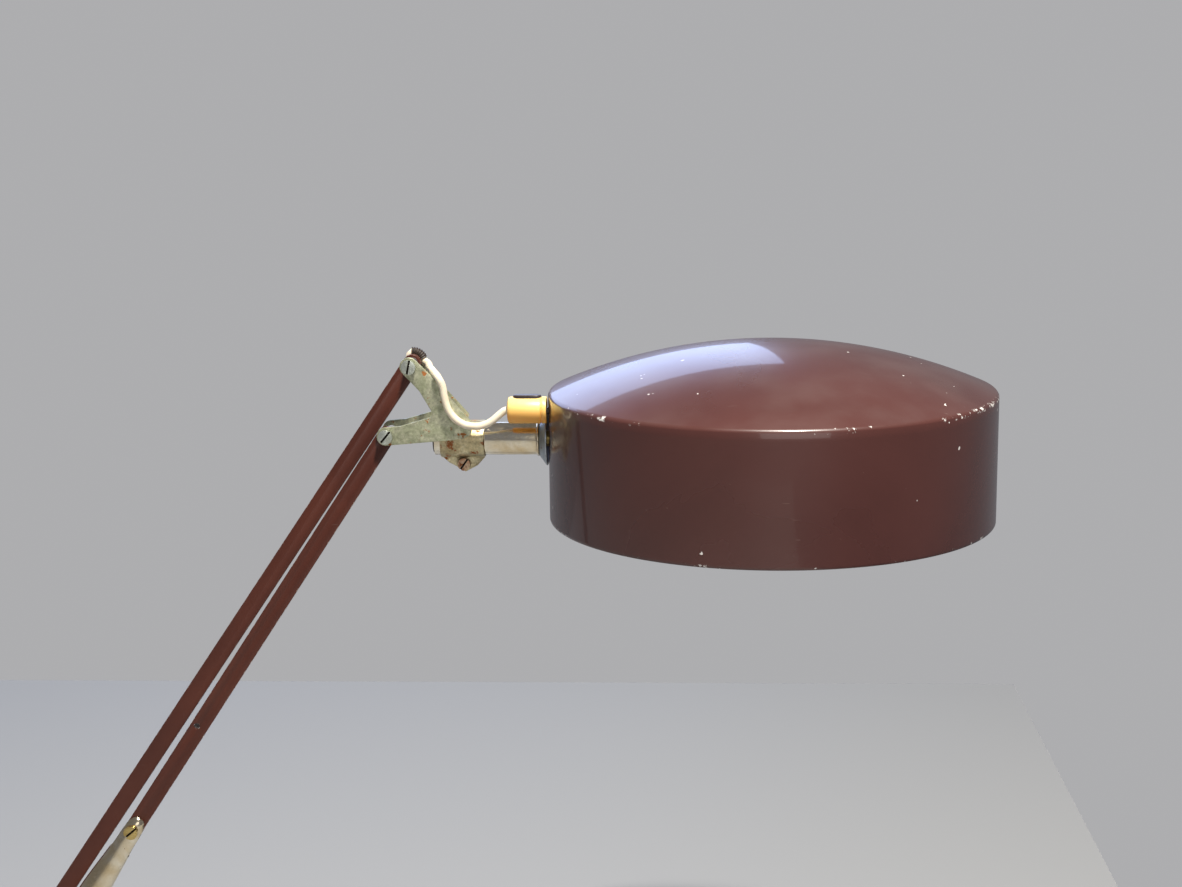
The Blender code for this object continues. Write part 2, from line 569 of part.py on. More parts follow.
def shade_profile():
    """Half section of the drum and its shallow dome: outside down to the edge, then back inside."""
    bend = 2.2
    sphere = (SHADE_R ** 2 + DOME_RISE ** 2) / (2 * DOME_RISE)
    outside, inside = [], []
    for k in range(7):
        r = (SHADE_R - bend) * k / 6
        outside.append((r, math.sqrt(sphere ** 2 - r ** 2) - sphere + DOME_RISE))
        inner_r = (SHADE_R - bend - SHADE_WALL) * k / 6
        inside.append((inner_r, math.sqrt(sphere ** 2 - inner_r ** 2) - sphere + DOME_RISE - SHADE_WALL))
    outside += [(SHADE_R - 0.5, -0.9), (SHADE_R, -2.4), (SHADE_R, -SHADE_HEIGHT)]
    inside += [(SHADE_R - SHADE_WALL - 0.4, -2.4), (SHADE_R - SHADE_WALL, -4.0)]
    inside += [(SHADE_R - SHADE_WALL, -SHADE_HEIGHT + 3), (SHADE_R - 2.4, -SHADE_HEIGHT + 2.2),
               (SHADE_R - 2.4, -SHADE_HEIGHT)]
    return outside + inside[::-1]


def make_shade():
    shell = turned("shade", shade_profile(), "enamel", shadeAxis, (0, 0, 1), 56)
    through = [(0, -6), (5.3, -6), (5.3, 6), (0, 6)]
    cut(shell, turned("nipple_hole", through, "enamel", (wallX, 0, tubeZ), (1, 0, 0), 16))
    small = [(0, -6), (3.1, -6), (3.1, 6), (0, 6)]
    cut(shell, turned("switch_hole", small, "enamel", (wallX, SWITCH_Y, switchZ), (1, 0, 0), 16))


def make_bulb():
    axis = Vector((0, 0, tubeZ))
    along = (1, 0, 0)
    start = wallX + 8.2
    holder = [(5.3, start), (15.5, start), (18.0, start + 3), (18.0, start + 40), (14.4, start + 40),
              (14.4, start + 6), (5.3, start + 6)]
    turned("lampholder", holder, "ceramic", axis, along, 28)
    cap = start + 12.5
    screw_cap = [(0, cap), (5, cap + 0.5), (8, cap + 3), (13.0, cap + 4.5), (13.0, cap + 26), (0, cap + 26)]
    turned("bulb_cap", screw_cap, "brass", axis, along, 24)
    neck = cap + 26.3
    center = neck + 46
    outside, inside = [], []
    for radius, points in ((30.0, outside), (29.2, inside)):
        for k in range(6, -4, -1):
            a = math.radians(15 * k)
            points.append((0 if k == 6 else radius * math.cos(a), center + radius * math.sin(a)))
        skin = 30.0 - radius
        points += [(17.5 - skin, neck + 16), (14.2 - skin, neck + 6), (13.0 - skin, neck)]
    globe = outside + inside[::-1]
    turned("bulb", globe, "glass", axis, along, 24)




def make_switch():
    start, end = switchStart, switchEnd
    at = Vector((0, SWITCH_Y, switchZ))
    along = (1, 0, 0)
    r = SWITCH_R
    body = [(FLEX_R + GAP, start), (r - 2.0, start), (r - 0.6, start + 0.6), (r, start + 2.0), (r, end - 3.6),
            (r - 0.5, end - 3.3), (r - 0.5, end - 3.0), (r, end - 2.7), (r - 0.2, end), (r - 2.0, end),
            (r - 2.0, start + 2.4), (FLEX_R + GAP, start + 2.4)]
    housing = turned("switch_housing", body, "yellow", at, along, 28)
    mid = (start + 3.6 + end - 0.4 - 2.6) / 2
    slot_low = (start + 6.4, 0)
    slot_high = (end - 6.2, 0)
    cutter = button_bmesh(slot_low[0], slot_high[0], 3.0 + GAP, switchZ + 2, switchZ + r + 4)
    cut(housing, add_piece("button_slot", cutter, "yellow"))
    top = switchZ + r + 1.1
    key = button_bmesh(slot_low[0], slot_high[0], 3.0, top - 5.2, top)
    add_piece("push_button", key, "dark", (mid, SWITCH_Y, switchZ))
    insert = [(0, start + 4.0), (r - 2.4, start + 4.0), (r - 2.4, end - 1.0), (2.6, end - 1.0),
              (2.6, wallX + 7.0), (0, wallX + 7.0)]
    block = turned("switch_insert", insert, "dark", at, along, 20)
    cut(block, box("insert_flat", (start, SWITCH_Y - 9, switchZ + 1.6), (end + 1, SWITCH_Y + 9, switchZ + 9)))


def button_bmesh(x_low, x_high, radius, z_low, z_high):
    """Upright block with a round-ended outline, its top edge eased."""
    bm = bmesh.new()
    outline = circle((x_high, SWITCH_Y), radius, 9, -90, 180) + circle((x_low, SWITCH_Y), radius, 9, 90, 180)
    low = [bm.verts.new((x, y, z_low)) for x, y in outline]
    high = [bm.verts.new((x, y, z_high)) for x, y in outline]
    bm.faces.new(low)
    bm.faces.new(high)
    for k in range(len(outline)):
        n = (k + 1) % len(outline)
        bm.faces.new([low[k], low[n], high[n], high[k]])
    return bm


# ---------------------------------------------------------------- flex
def make_bar_flex(run, low_end):
    """The stretch held by the rear bar, from its lower end up to the boot."""
    depth = REAR_BAR_Y + BAR_WALL + FLEX_R + 0.4
    left = Vector((-run.z, 0, run.x))
    route = [low_end + 46 * run + Vector((0, 8.6, 0)), low_end + 56 * run + Vector((0, 6.0, 0)),
             low_end + 70 * run + Vector((0, depth, 0)), low_end + 100 * run + Vector((0, depth, 0)),
             forkHigh - 200 * run + Vector((0, depth, 0)), forkHigh - 44 * run + Vector((0, depth, 0)),
             forkHigh - 31 * run + 0.8 * left + Vector((0, 6.8, 0)),
             forkHigh - 22 * run + 2.6 * left + Vector((0, BOOT_Y - 0.1, 0)),
             forkHigh - 12 * run + 5.2 * left + Vector((0, BOOT_Y, 0))]
    for a in (148, 130, 114, 102):
        b = math.radians(a)
        route.append(forkHigh + Vector((BOOT_REACH * math.cos(b), BOOT_Y, BOOT_REACH * math.sin(b))))
    flex("flex_in_bar", route, spacing=9.0, origin=linkPivot)


def make_loops(run, low_end):
    """Free stretches: over the head's joint, and over the arm's lower joint."""
    x, z = xz(forkLow)
    a = math.radians(BOOT_END - 6.0)
    front = -PLATE_IN - PLATE_THICK - FLEX_R - 0.5
    route = [(forkHigh.x + BOOT_REACH * math.cos(a), BOOT_Y, forkHigh.z + BOOT_REACH * math.sin(a)),
             (x + 22.2, 7.9, z + 43.2), (x + 25.0, 4.4, z + 41.8), (x + 26.6, -2.0, z + 40.6),
             (x + 29.6, -9.6, z + 39.4), (x + 33.2, -15.4, z + 36.6), (x + 35.8, front, z + 31.2),
             (x + 36.8, front, z + 24.6), (x + 38.9, front, z + 17.0), (x + 43.1, front, z + 11.3),
             (x + 48.6, front, z + 7.8), (x + 54.4, front, z + 6.8), (x + 59.0, front, z + 7.2),
             (x + 64.0, front + 0.2, z + 9.2), (x + 68.4, SWITCH_Y - 0.4, z + 12.6),
             (x + 72.2, SWITCH_Y, z + 15.8), (switchStart - GAP, SWITCH_Y, switchZ)]
    flex("head_flex", route, spacing=4.0, origin=forkLow)
    low = DRUM_TOP + GAP + 3.0 + 1.6 + GAP
    start = low_end + 46 * run + Vector((0, 8.6, 0)) - 0.35 * run
    route = [start, (34.5, 13.2, 154.5), (27, 18.5, 140), (17, 22.5, 119), (7, 23.5, 97), (-0.5, 21.5, 77),
             (-5, 18.0, 64), (*GROMMET, low)]
    flex("lower_flex_loop", route, spacing=7.0, origin=linkPivot)
    route = [(*GROMMET, DRUM_TOP - 1.6), (*GROMMET, 40), (*GROMMET, 24), (-5, 15.6, 15.5), (-4.4, 21, 9.6),
             (-3, 34, LEAD_Z), (0, 52, LEAD_Z), (0, 80, LEAD_Z), (0, BASE_R - 6.5, LEAD_Z)]
    flex("flex_in_base", route, spacing=6.0)


def make_mains_lead():
    """Lead from the gland to a tied coil behind the base, and its plug beside the coil."""
    back = BASE_R + 24
    gland = [(0, BASE_R - 6), (3.8, BASE_R - 6), (3.8, BASE_R + 0.4), (6.0, BASE_R + 0.4), (6.0, BASE_R + 2.6),
             (4.4, BASE_R + 4), (3.0, back), (0, back)]
    turned("cord_gland", gland, "flex", (0, 0, LEAD_Z), (0, 1, 0), 18)
    route = [(0, back + GAP, LEAD_Z), (0, 157, 7.2), (-2.6, 167, 4.6), (-8.2, 177.5, 2.7), (-13.4, 184.5, 2.4),
             (-17.4, 189.6, 2.4)]
    flex("mains_lead", route, spacing=6.0)
    across = COIL_WIDE * FLEX_R
    top = COIL_LOW + COIL_HIGH * 2 * FLEX_R
    ring = [(COIL_R - across, COIL_LOW), (COIL_R + across, COIL_LOW), (COIL_R + across, top),
            (COIL_R - across, top)]
    turned("mains_coil", ring, "flex", (COIL_X, COIL_Y, 0), segments=28)
    route = [(-85.8, 193.0, 2.4), (-87.4, 186.5, 3.4), (-88, 180.5, 5.4), (-88, 175, 6.8), (-88, 170.6, 7.0)]
    flex("mains_tail", route, spacing=5.0)
    bm = bmesh.new()
    low, high = COIL_Y + COIL_R - across, COIL_Y + COIL_R + across
    outer = [(low - 1.2, 0.05), (high + 1.2, 0.05), (high + 1.2, top + 1.1), (low - 1.2, top + 1.1)]
    inner = [(low - 0.4, 0.8), (high + 0.4, 0.8), (high + 0.4, top + 0.4), (low - 0.4, top + 0.4)]
    ends = []
    for x in (COIL_X - 2.5, COIL_X + 2.5):
        ends.append([[bm.verts.new((x, y, z)) for y, z in loop] for loop in (outer, inner)])
    for k in range(4):
        n = (k + 1) % 4
        for loop in (0, 1):
            bm.faces.new([ends[0][loop][k], ends[0][loop][n], ends[1][loop][n], ends[1][loop][k]])
        for end in ends:
            bm.faces.new([end[0][k], end[0][n], end[1][n], end[1][k]])
    add_piece("coil_tie", bm, "dark")
    make_plug()


def make_plug():
    """Flat two-pin plug lying beside the coil, its pins towards the base."""
    x, z, rear = -88.0, 7.0, 170.3
    front = rear - 36
    stations = [(rear, 3.0, 3.0), (rear - 11, 4.4, 4.2), (rear - 14, 9.5, 6.0), (rear - 20, 12.5, 6.8),
                (front + 1, 12.5, 6.8), (front, 11.8, 6.1)]
    bm = bmesh.new()
    rings = []
    for y, wide, high in stations:
        ring = []
        for k in range(16):
            a = 2 * math.pi * k / 16
            c, s = math.cos(a), math.sin(a)
            ring.append(bm.verts.new((x + wide * math.copysign(abs(c) ** 0.6, c), y,
                                      z + high * math.copysign(abs(s) ** 0.6, s))))
        rings.append(ring)
    for low, high in zip(rings, rings[1:]):
        for k in range(16):
            n = (k + 1) % 16
            bm.faces.new([low[k], low[n], high[n], high[k]])
    bm.faces.new(rings[0])
    bm.faces.new(rings[-1])
    add_piece("plug_body", bm, "flex")
    for name, shift in (("plug_pin_left", -9.3), ("plug_pin_right", 9.3)):
        pin = [(0, -19.3), (1.4, -19.3), (2.0, -18.3), (2.0, -GAP), (0, -GAP)]
        turned(name, pin, "brass", (x + shift, front, z), (0, 1, 0), 12)


def main():
    clear_scene()
    make_base()
    make_post()
    make_turntable()
    make_arm()
    bar, run, low_end = make_link()
    make_fork()
    make_clamp()
    make_clamp_screw()
    make_head_tube()
    make_shade()
    make_bulb()
    make_switch()
    make_bar_flex(run, low_end)
    make_loops(run, low_end)
    make_mains_lead()


main()
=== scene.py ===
import json
import math
import bmesh
import bpy
from mathutils import Matrix, Vector


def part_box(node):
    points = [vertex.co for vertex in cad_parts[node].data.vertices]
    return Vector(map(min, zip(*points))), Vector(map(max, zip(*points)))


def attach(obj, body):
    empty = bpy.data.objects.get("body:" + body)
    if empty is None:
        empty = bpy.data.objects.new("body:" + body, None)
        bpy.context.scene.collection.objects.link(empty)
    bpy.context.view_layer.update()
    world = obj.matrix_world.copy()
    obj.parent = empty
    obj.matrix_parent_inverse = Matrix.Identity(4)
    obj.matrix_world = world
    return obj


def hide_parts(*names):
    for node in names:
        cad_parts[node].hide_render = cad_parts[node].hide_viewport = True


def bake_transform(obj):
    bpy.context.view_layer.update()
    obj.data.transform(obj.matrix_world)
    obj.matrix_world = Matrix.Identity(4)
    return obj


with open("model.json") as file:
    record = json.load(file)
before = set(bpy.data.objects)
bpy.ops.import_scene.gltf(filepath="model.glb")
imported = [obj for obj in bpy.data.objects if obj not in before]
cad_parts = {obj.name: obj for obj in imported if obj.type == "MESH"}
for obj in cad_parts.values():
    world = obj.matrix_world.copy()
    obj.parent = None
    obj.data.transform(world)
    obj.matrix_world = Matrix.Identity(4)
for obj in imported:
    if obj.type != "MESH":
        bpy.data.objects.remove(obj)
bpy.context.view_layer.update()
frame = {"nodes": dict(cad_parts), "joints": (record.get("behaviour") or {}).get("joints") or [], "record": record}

nodes = frame["nodes"]
scene = bpy.context.scene
mm = 0.001
print("frame loaded:", len(nodes), "nodes")


# places read from the frame
def jointPlace(name):
    return Vector(next(j["pos_m"] for j in frame["joints"] if j["name"] == name))


def middle(node):
    low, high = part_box(node)
    return (Vector(low) + Vector(high)) / 2


lowerPivot = jointPlace("arm_tilt")
linkPivot = jointPlace("link_tilt")
forkLow = jointPlace("fork_level")
forkHigh = forkLow + linkPivot - lowerPivot
armWay = (forkLow - lowerPivot).normalized()
shadeMiddle = middle("shade")
shadeRadius = (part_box("shade")[1][0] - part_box("shade")[0][0]) / 2
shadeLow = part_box("shade")[0][2]
tubeHeight = middle("head_nipple").z
switchMiddle = middle("switch_housing")
bodyOf = {}
for bodyName, members in frame["record"]["behaviour"]["bodies"].items():
    for member in members:
        bodyOf[member] = bodyName
slotOf = {part["node"]: part["material_slot"] for part in frame["record"]["subparts"]}

# ---- camera
wallHeight = 77.6 * mm
view = {"lens": 59.52, "yaw": 3.0, "tilt": 11.084, "roll": -0.7066, "fromRim": (-0.0483, -1.169, 0.1963)}
rimHeight = shadeLow + wallHeight
yaw, tilt, roll = (math.radians(view[k]) for k in ("yaw", "tilt", "roll"))
forward = Vector((-math.sin(yaw) * math.cos(tilt), math.cos(yaw) * math.cos(tilt), -math.sin(tilt)))
level = Vector((math.cos(yaw), math.sin(yaw), 0))
upright = level.cross(forward)
right = level * math.cos(roll) + upright * math.sin(roll)
up = upright * math.cos(roll) - level * math.sin(roll)
camera = bpy.data.objects.new("camera", bpy.data.cameras.new("camera"))
camera.data.lens = view["lens"]
camera.data.sensor_width = 36
camera.data.clip_start = 0.02
turn = Matrix((right, up, -forward)).transposed().to_4x4()
stand = Vector((shadeMiddle.x, 0, rimHeight)) + Vector(view["fromRim"])
camera.matrix_world = Matrix.Translation(stand) @ turn
scene.collection.objects.link(camera)
scene.camera = camera


# ---- node trees: a short way to add a node with its values and links
def addNode(tree, kind, values=None, **settings):
    node = tree.nodes.new(kind)
    for key, value in settings.items():
        setattr(node, key, value)
    for key, value in (values or {}).items():
        socket = node.inputs[key]
        if isinstance(value, bpy.types.NodeSocket):
            tree.links.new(value, socket)
        else:
            socket.default_value = value
    return node


def calc(tree, operation, a, b=0.0, clamp=False):
    return addNode(tree, "ShaderNodeMath", {0: a, 1: b}, operation=operation, use_clamp=clamp).outputs[0]


def noise(tree, at, scale, detail, **more):
    values = {"Vector": at, "Scale": scale, "Detail": detail, **more}
    return addNode(tree, "ShaderNodeTexNoise", values).outputs[0]


def objectPlace(tree):
    return addNode(tree, "ShaderNodeTexCoord").outputs["Object"]


def maskNamed(tree, name):
    return addNode(tree, "ShaderNodeAttribute", attribute_name=name, attribute_type="GEOMETRY").outputs["Fac"]


def vector(tree, **parts):
    return addNode(tree, "ShaderNodeCombineXYZ", parts).outputs[0]


def ramp(tree, value, low, high):
    values = {"Value": value, "From Min": low, "From Max": high}
    return addNode(tree, "ShaderNodeMapRange", values, interpolation_type="SMOOTHSTEP").outputs[0]


def mixColor(tree, factor, a, b, blend="MIX"):
    node = addNode(tree, "ShaderNodeMix", {0: factor}, data_type="RGBA", blend_type=blend)
    for socket, value in ((node.inputs[6], a), (node.inputs[7], b)):
        if isinstance(value, bpy.types.NodeSocket):
            tree.links.new(value, socket)
        else:
            socket.default_value = (*value, 1)
    return node.outputs[2]


def startGroup(name, inputs, outputs):
    tree = bpy.data.node_groups.new(name, "ShaderNodeTree")
    for label, value in inputs:
        socket = tree.interface.new_socket(name=label, in_out="INPUT", socket_type="NodeSocketFloat")
        socket.default_value = value
    for label, kind in outputs:
        tree.interface.new_socket(name=label, in_out="OUTPUT", socket_type=kind)
    return tree, tree.nodes.new("NodeGroupInput"), tree.nodes.new("NodeGroupOutput")


def makeEdgeWear():
    # bare along outer edges, broken up by noise
    ins = [("Width", 0.0008), ("Scale", 400.0), ("Amount", 0.5)]
    tree, given, made = startGroup("edgeWear", ins, [("Mask", "NodeSocketFloat")])
    rounded = addNode(tree, "ShaderNodeBevel", {"Radius": given.outputs["Width"]}, samples=4)
    facing = addNode(tree, "ShaderNodeNewGeometry")
    dot = addNode(tree, "ShaderNodeVectorMath", {0: rounded.outputs[0], 1: facing.outputs["Normal"]},
                  operation="DOT_PRODUCT").outputs["Value"]
    edge = ramp(tree, calc(tree, "SUBTRACT", 1.0, dot), 0.015, 0.16)
    at = objectPlace(tree)
    speckle = noise(tree, at, given.outputs["Scale"], 4.0)
    limit = calc(tree, "SUBTRACT", 0.72, calc(tree, "MULTIPLY", given.outputs["Amount"], 0.4))
    broken = ramp(tree, calc(tree, "SUBTRACT", speckle, limit), 0.0, 0.09)
    tree.links.new(calc(tree, "MULTIPLY", edge, broken, True), made.inputs["Mask"])
    return tree


def makeMottle():
    # broad stains, fine grain and sparse spots
    ins = [("Stain Scale", 30.0), ("Grain Scale", 900.0), ("Spot Scale", 160.0), ("Spot Limit", 0.66)]
    outs = [("Stain", "NodeSocketFloat"), ("Grain", "NodeSocketFloat"), ("Spots", "NodeSocketFloat")]
    tree, given, made = startGroup("mottle", ins, outs)
    at = objectPlace(tree)
    stain = noise(tree, at, given.outputs["Stain Scale"], 5.0, Distortion=0.6)
    grain = noise(tree, at, given.outputs["Grain Scale"], 3.0, Roughness=0.7)
    spots = noise(tree, at, given.outputs["Spot Scale"], 6.0, Roughness=0.65)
    over = calc(tree, "SUBTRACT", spots, given.outputs["Spot Limit"])
    tree.links.new(ramp(tree, stain, 0.3, 0.7), made.inputs["Stain"])
    tree.links.new(grain, made.inputs["Grain"])
    tree.links.new(ramp(tree, over, 0.0, 0.05), made.inputs["Spots"])
    return tree


def makeDust():
    # settles on what faces up
    ins = [("Amount", 0.2), ("Scale", 90.0)]
    tree, given, made = startGroup("dust", ins, [("Mask", "NodeSocketFloat")])
    coords = addNode(tree, "ShaderNodeTexCoord")
    height = addNode(tree, "ShaderNodeSeparateXYZ", {0: coords.outputs["Normal"]}).outputs["Z"]
    cloud = noise(tree, coords.outputs["Object"], given.outputs["Scale"], 6.0)
    mask = calc(tree, "MULTIPLY", ramp(tree, height, 0.3, 1.0), ramp(tree, cloud, 0.35, 0.75))
    tree.links.new(calc(tree, "MULTIPLY", mask, given.outputs["Amount"]), made.inputs["Mask"])
    return tree


def makeHairlines():
    # fine scratches in two directions
    ins = [("Scale", 60.0), ("Limit", 0.7)]
    tree, given, made = startGroup("hairlines", ins, [("Mask", "NodeSocketFloat")])
    at = objectPlace(tree)
    masks = []
    for angle, stretch in ((0.5, 24.0), (2.1, 30.0)):
        turned = addNode(tree, "ShaderNodeMapping", {"Vector": at, "Rotation": (0.4, angle, angle),
                "Scale": (1.0, stretch, stretch * 0.6)}).outputs[0]
        line = noise(tree, turned, given.outputs["Scale"], 2.0)
        masks.append(ramp(tree, calc(tree, "SUBTRACT", line, given.outputs["Limit"]), 0.0, 0.03))
    tree.links.new(calc(tree, "ADD", masks[0], masks[1], True), made.inputs["Mask"])
    return tree


edgeWear, mottle, dust, hairlines = makeEdgeWear(), makeMottle(), makeDust(), makeHairlines()


def useGroup(tree, group, **values):
    node = addNode(tree, "ShaderNodeGroup", node_tree=group)
    for key, value in values.items():
        node.inputs[key.replace("_", " ")].default_value = value
    return node


def startMaterial(name, **shader):
    material = bpy.data.materials.new(name)
    material.use_nodes = True
    tree = material.node_tree
    bsdf = tree.nodes["Principled BSDF"]
    for key, value in shader.items():
        bsdf.inputs[key.replace("_", " ")].default_value = value
    return material, tree, bsdf


def finishMaterial(tree, bsdf, color, roughness, height=None, strength=0.2, distance=0.0002, metallic=None):
    tree.links.new(color, bsdf.inputs["Base Color"])
    tree.links.new(roughness, bsdf.inputs["Roughness"])
    if metallic is not None:
        tree.links.new(metallic, bsdf.inputs["Metallic"])
    if height is not None:
        bump = addNode(tree, "ShaderNodeBump", {"Height": height, "Strength": strength, "Distance": distance})
        tree.links.new(bump.outputs[0], bsdf.inputs["Normal"])


def roughBetween(tree, mask, low, high):
    return addNode(tree, "ShaderNodeMapRange", {"Value": mask, "To Min": low, "To Max": high}).outputs[0]


# ---- enamel on the bars and the base
barEnamelLook = {"color": (0.088, 0.022, 0.012), "dark": (0.066, 0.016, 0.009), "bare": (0.46, 0.38, 0.33)}


def makeBarEnamel():
    look = barEnamelLook
    material, tree, bsdf = startMaterial("barEnamel", Coat_Weight=0.12, Coat_Roughness=0.15,
            Specular_IOR_Level=0.35)
    patches = useGroup(tree, mottle, Stain_Scale=18.0, Grain_Scale=1400.0, Spot_Scale=220.0, Spot_Limit=0.70)
    worn = useGroup(tree, edgeWear, Width=0.0007, Scale=260.0, Amount=0.52)
    settled = useGroup(tree, dust, Amount=0.12, Scale=60.0)
    lines = useGroup(tree, hairlines, Scale=40.0, Limit=0.76)
    color = mixColor(tree, patches.outputs["Stain"], look["dark"], look["color"])
    color = mixColor(tree, lines.outputs[0], color, (0.13, 0.07, 0.055))
    color = mixColor(tree, settled.outputs[0], color, (0.4, 0.36, 0.33))
    color = mixColor(tree, worn.outputs[0], color, look["bare"])
    rough = roughBetween(tree, patches.outputs["Grain"], 0.28, 0.46)
    finishMaterial(tree, bsdf, color, rough, patches.outputs["Grain"], 0.12, 0.0001)
    return material


# ---- glossy enamel on the drum, with chips along its two edges
shadeEnamelLook = {"color": (0.080, 0.024, 0.019), "dark": (0.062, 0.018, 0.014), "chip": (0.72, 0.69, 0.66),
        "inside": (0.78, 0.77, 0.72)}


def makeShadeEnamel():
    look = shadeEnamelLook
    material, tree, bsdf = startMaterial("shadeEnamel", Coat_Weight=0.55, Coat_Roughness=0.05, Coat_IOR=1.5)
    at = objectPlace(tree)
    height = addNode(tree, "ShaderNodeSeparateXYZ", {0: at}).outputs["Z"]
    patches = useGroup(tree, mottle, Stain_Scale=7.0, Grain_Scale=1800.0, Spot_Scale=340.0, Spot_Limit=0.72)
    lines = useGroup(tree, hairlines, Scale=26.0, Limit=0.77)
    settled = useGroup(tree, dust, Amount=0.05, Scale=24.0)
    # distance from the rim's edge and from the bottom edge
    bands = []
    for edge, reach in ((rimHeight - 0.8 * mm, 1.8 * mm), (shadeLow, 2.2 * mm)):
        away = calc(tree, "ABSOLUTE", calc(tree, "SUBTRACT", height, edge))
        bands.append(calc(tree, "SUBTRACT", 1.0, ramp(tree, away, reach * 0.5, reach)))
    band = calc(tree, "ADD", bands[0], bands[1], True)
    flakes = noise(tree, at, 210.0, 5.0, Roughness=0.7)
    clumps = noise(tree, at, 19.0, 1.0)
    chance = calc(tree, "ADD", flakes, calc(tree, "MULTIPLY", clumps, 0.45))
    chips = calc(tree, "MULTIPLY", band, ramp(tree, chance, 0.85, 0.875))
    # a few stray flecks on the faces
    fleck = noise(tree, at, 150.0, 2.0)
    stray = ramp(tree, calc(tree, "ADD", fleck, calc(tree, "MULTIPLY", clumps, 0.4)), 0.985, 0.998)
    bare = calc(tree, "ADD", chips, stray, True)
    inward = maskNamed(tree, "inside")
    color = mixColor(tree, patches.outputs["Stain"], look["dark"], look["color"])
    color = mixColor(tree, calc(tree, "MULTIPLY", lines.outputs[0], 0.5), color, (0.2, 0.13, 0.11))
    color = mixColor(tree, settled.outputs[0], color, (0.45, 0.42, 0.40))
    color = mixColor(tree, inward, color, look["inside"])
    color = mixColor(tree, bare, color, look["chip"])
    rough = roughBetween(tree, patches.outputs["Stain"], 0.24, 0.32)
    rough = calc(tree, "ADD", rough, calc(tree, "MULTIPLY", bare, 0.3))
    relief = calc(tree, "SUBTRACT", calc(tree, "MULTIPLY", patches.outputs["Grain"], 0.15), bare)
    finishMaterial(tree, bsdf, color, rough, relief, 0.25, 0.0001)
    return material


# ---- plated and plain metals
def makeMetal(name, color, stain, rust, rough, spots=0.66, spotScale=160.0, metal=1.0, wear=0.0,
              stainScale=45.0, grainScale=1500.0, contrast=0.2):
    material, tree, bsdf = startMaterial(name)
    patches = useGroup(tree, mottle, Stain_Scale=stainScale, Grain_Scale=grainScale, Spot_Scale=spotScale,
            Spot_Limit=spots)
    lines = useGroup(tree, hairlines, Scale=90.0, Limit=0.72)
    made = mixColor(tree, patches.outputs["Stain"], color, stain)
    span = {"From Min": 0.25, "From Max": 0.75, "To Min": 1 - contrast, "To Max": 1 + contrast}
    fine = addNode(tree, "ShaderNodeMapRange", {"Value": patches.outputs["Grain"], **span})
    made = mixColor(tree, 1.0, made, fine.outputs[0], "MULTIPLY")
    if wear:
        edge = useGroup(tree, edgeWear, Width=0.0006, Scale=500.0, Amount=wear)
        made = mixColor(tree, edge.outputs[0], made, tuple(min(1.0, c * 1.5) for c in color))
    made = mixColor(tree, patches.outputs["Spots"], made, rust)
    # painted shade: faces flagged as screw slot faces turn near black
    made = mixColor(tree, maskNamed(tree, "slotShade"), made, (0.02, 0.015, 0.01))
    low, high = rough
    level = roughBetween(tree, patches.outputs["Stain"], low, high)
    level = calc(tree, "ADD", level, calc(tree, "MULTIPLY", patches.outputs["Spots"], 0.4), True)
    level = calc(tree, "ADD", level, calc(tree, "MULTIPLY", lines.outputs[0], 0.12), True)
    dulled = calc(tree, "MULTIPLY", patches.outputs["Spots"], 0.8 * metal)
    shine = calc(tree, "SUBTRACT", metal, dulled, True)
    height = calc(tree, "ADD", patches.outputs["Grain"], patches.outputs["Spots"])
    finishMaterial(tree, bsdf, made, level, height, 0.3, 0.00012, shine)
    return material


# ---- plastics, rubber and flex
def makePlain(name, color, other, rough, scale=30.0, bumpy=0.15, dusty=0.1, underShade=None, **shader):
    material, tree, bsdf = startMaterial(name, **shader)
    patches = useGroup(tree, mottle, Stain_Scale=scale, Grain_Scale=1100.0, Spot_Scale=300.0, Spot_Limit=0.74)
    settled = useGroup(tree, dust, Amount=dusty, Scale=110.0)
    made = mixColor(tree, patches.outputs["Stain"], color, other)
    if underShade:      # painted shade: warmer and deeper on faces turned downward, where the moulding turns under
        normal = addNode(tree, "ShaderNodeTexCoord").outputs["Normal"]
        facing = addNode(tree, "ShaderNodeSeparateXYZ", {0: normal}).outputs["Z"]
        made = mixColor(tree, ramp(tree, facing, 0.75, -0.5), made, underShade)
    made = mixColor(tree, patches.outputs["Spots"], made, tuple(c * 0.55 for c in color))
    made = mixColor(tree, settled.outputs[0], made, (0.5, 0.47, 0.42))
    level = roughBetween(tree, patches.outputs["Stain"], rough[0], rough[1])
    finishMaterial(tree, bsdf, made, level, patches.outputs["Grain"], bumpy, 0.0001)
    return material


def makeBulbGlass():
    material, tree, bsdf = startMaterial("bulbGlass", Transmission_Weight=0.25, IOR=1.45)
    haze = useGroup(tree, mottle, Stain_Scale=40.0, Grain_Scale=2000.0)
    color = mixColor(tree, haze.outputs["Stain"], (0.92, 0.92, 0.89), (0.86, 0.86, 0.83))
    finishMaterial(tree, bsdf, color, roughBetween(tree, haze.outputs["Grain"], 0.25, 0.4))
    return material


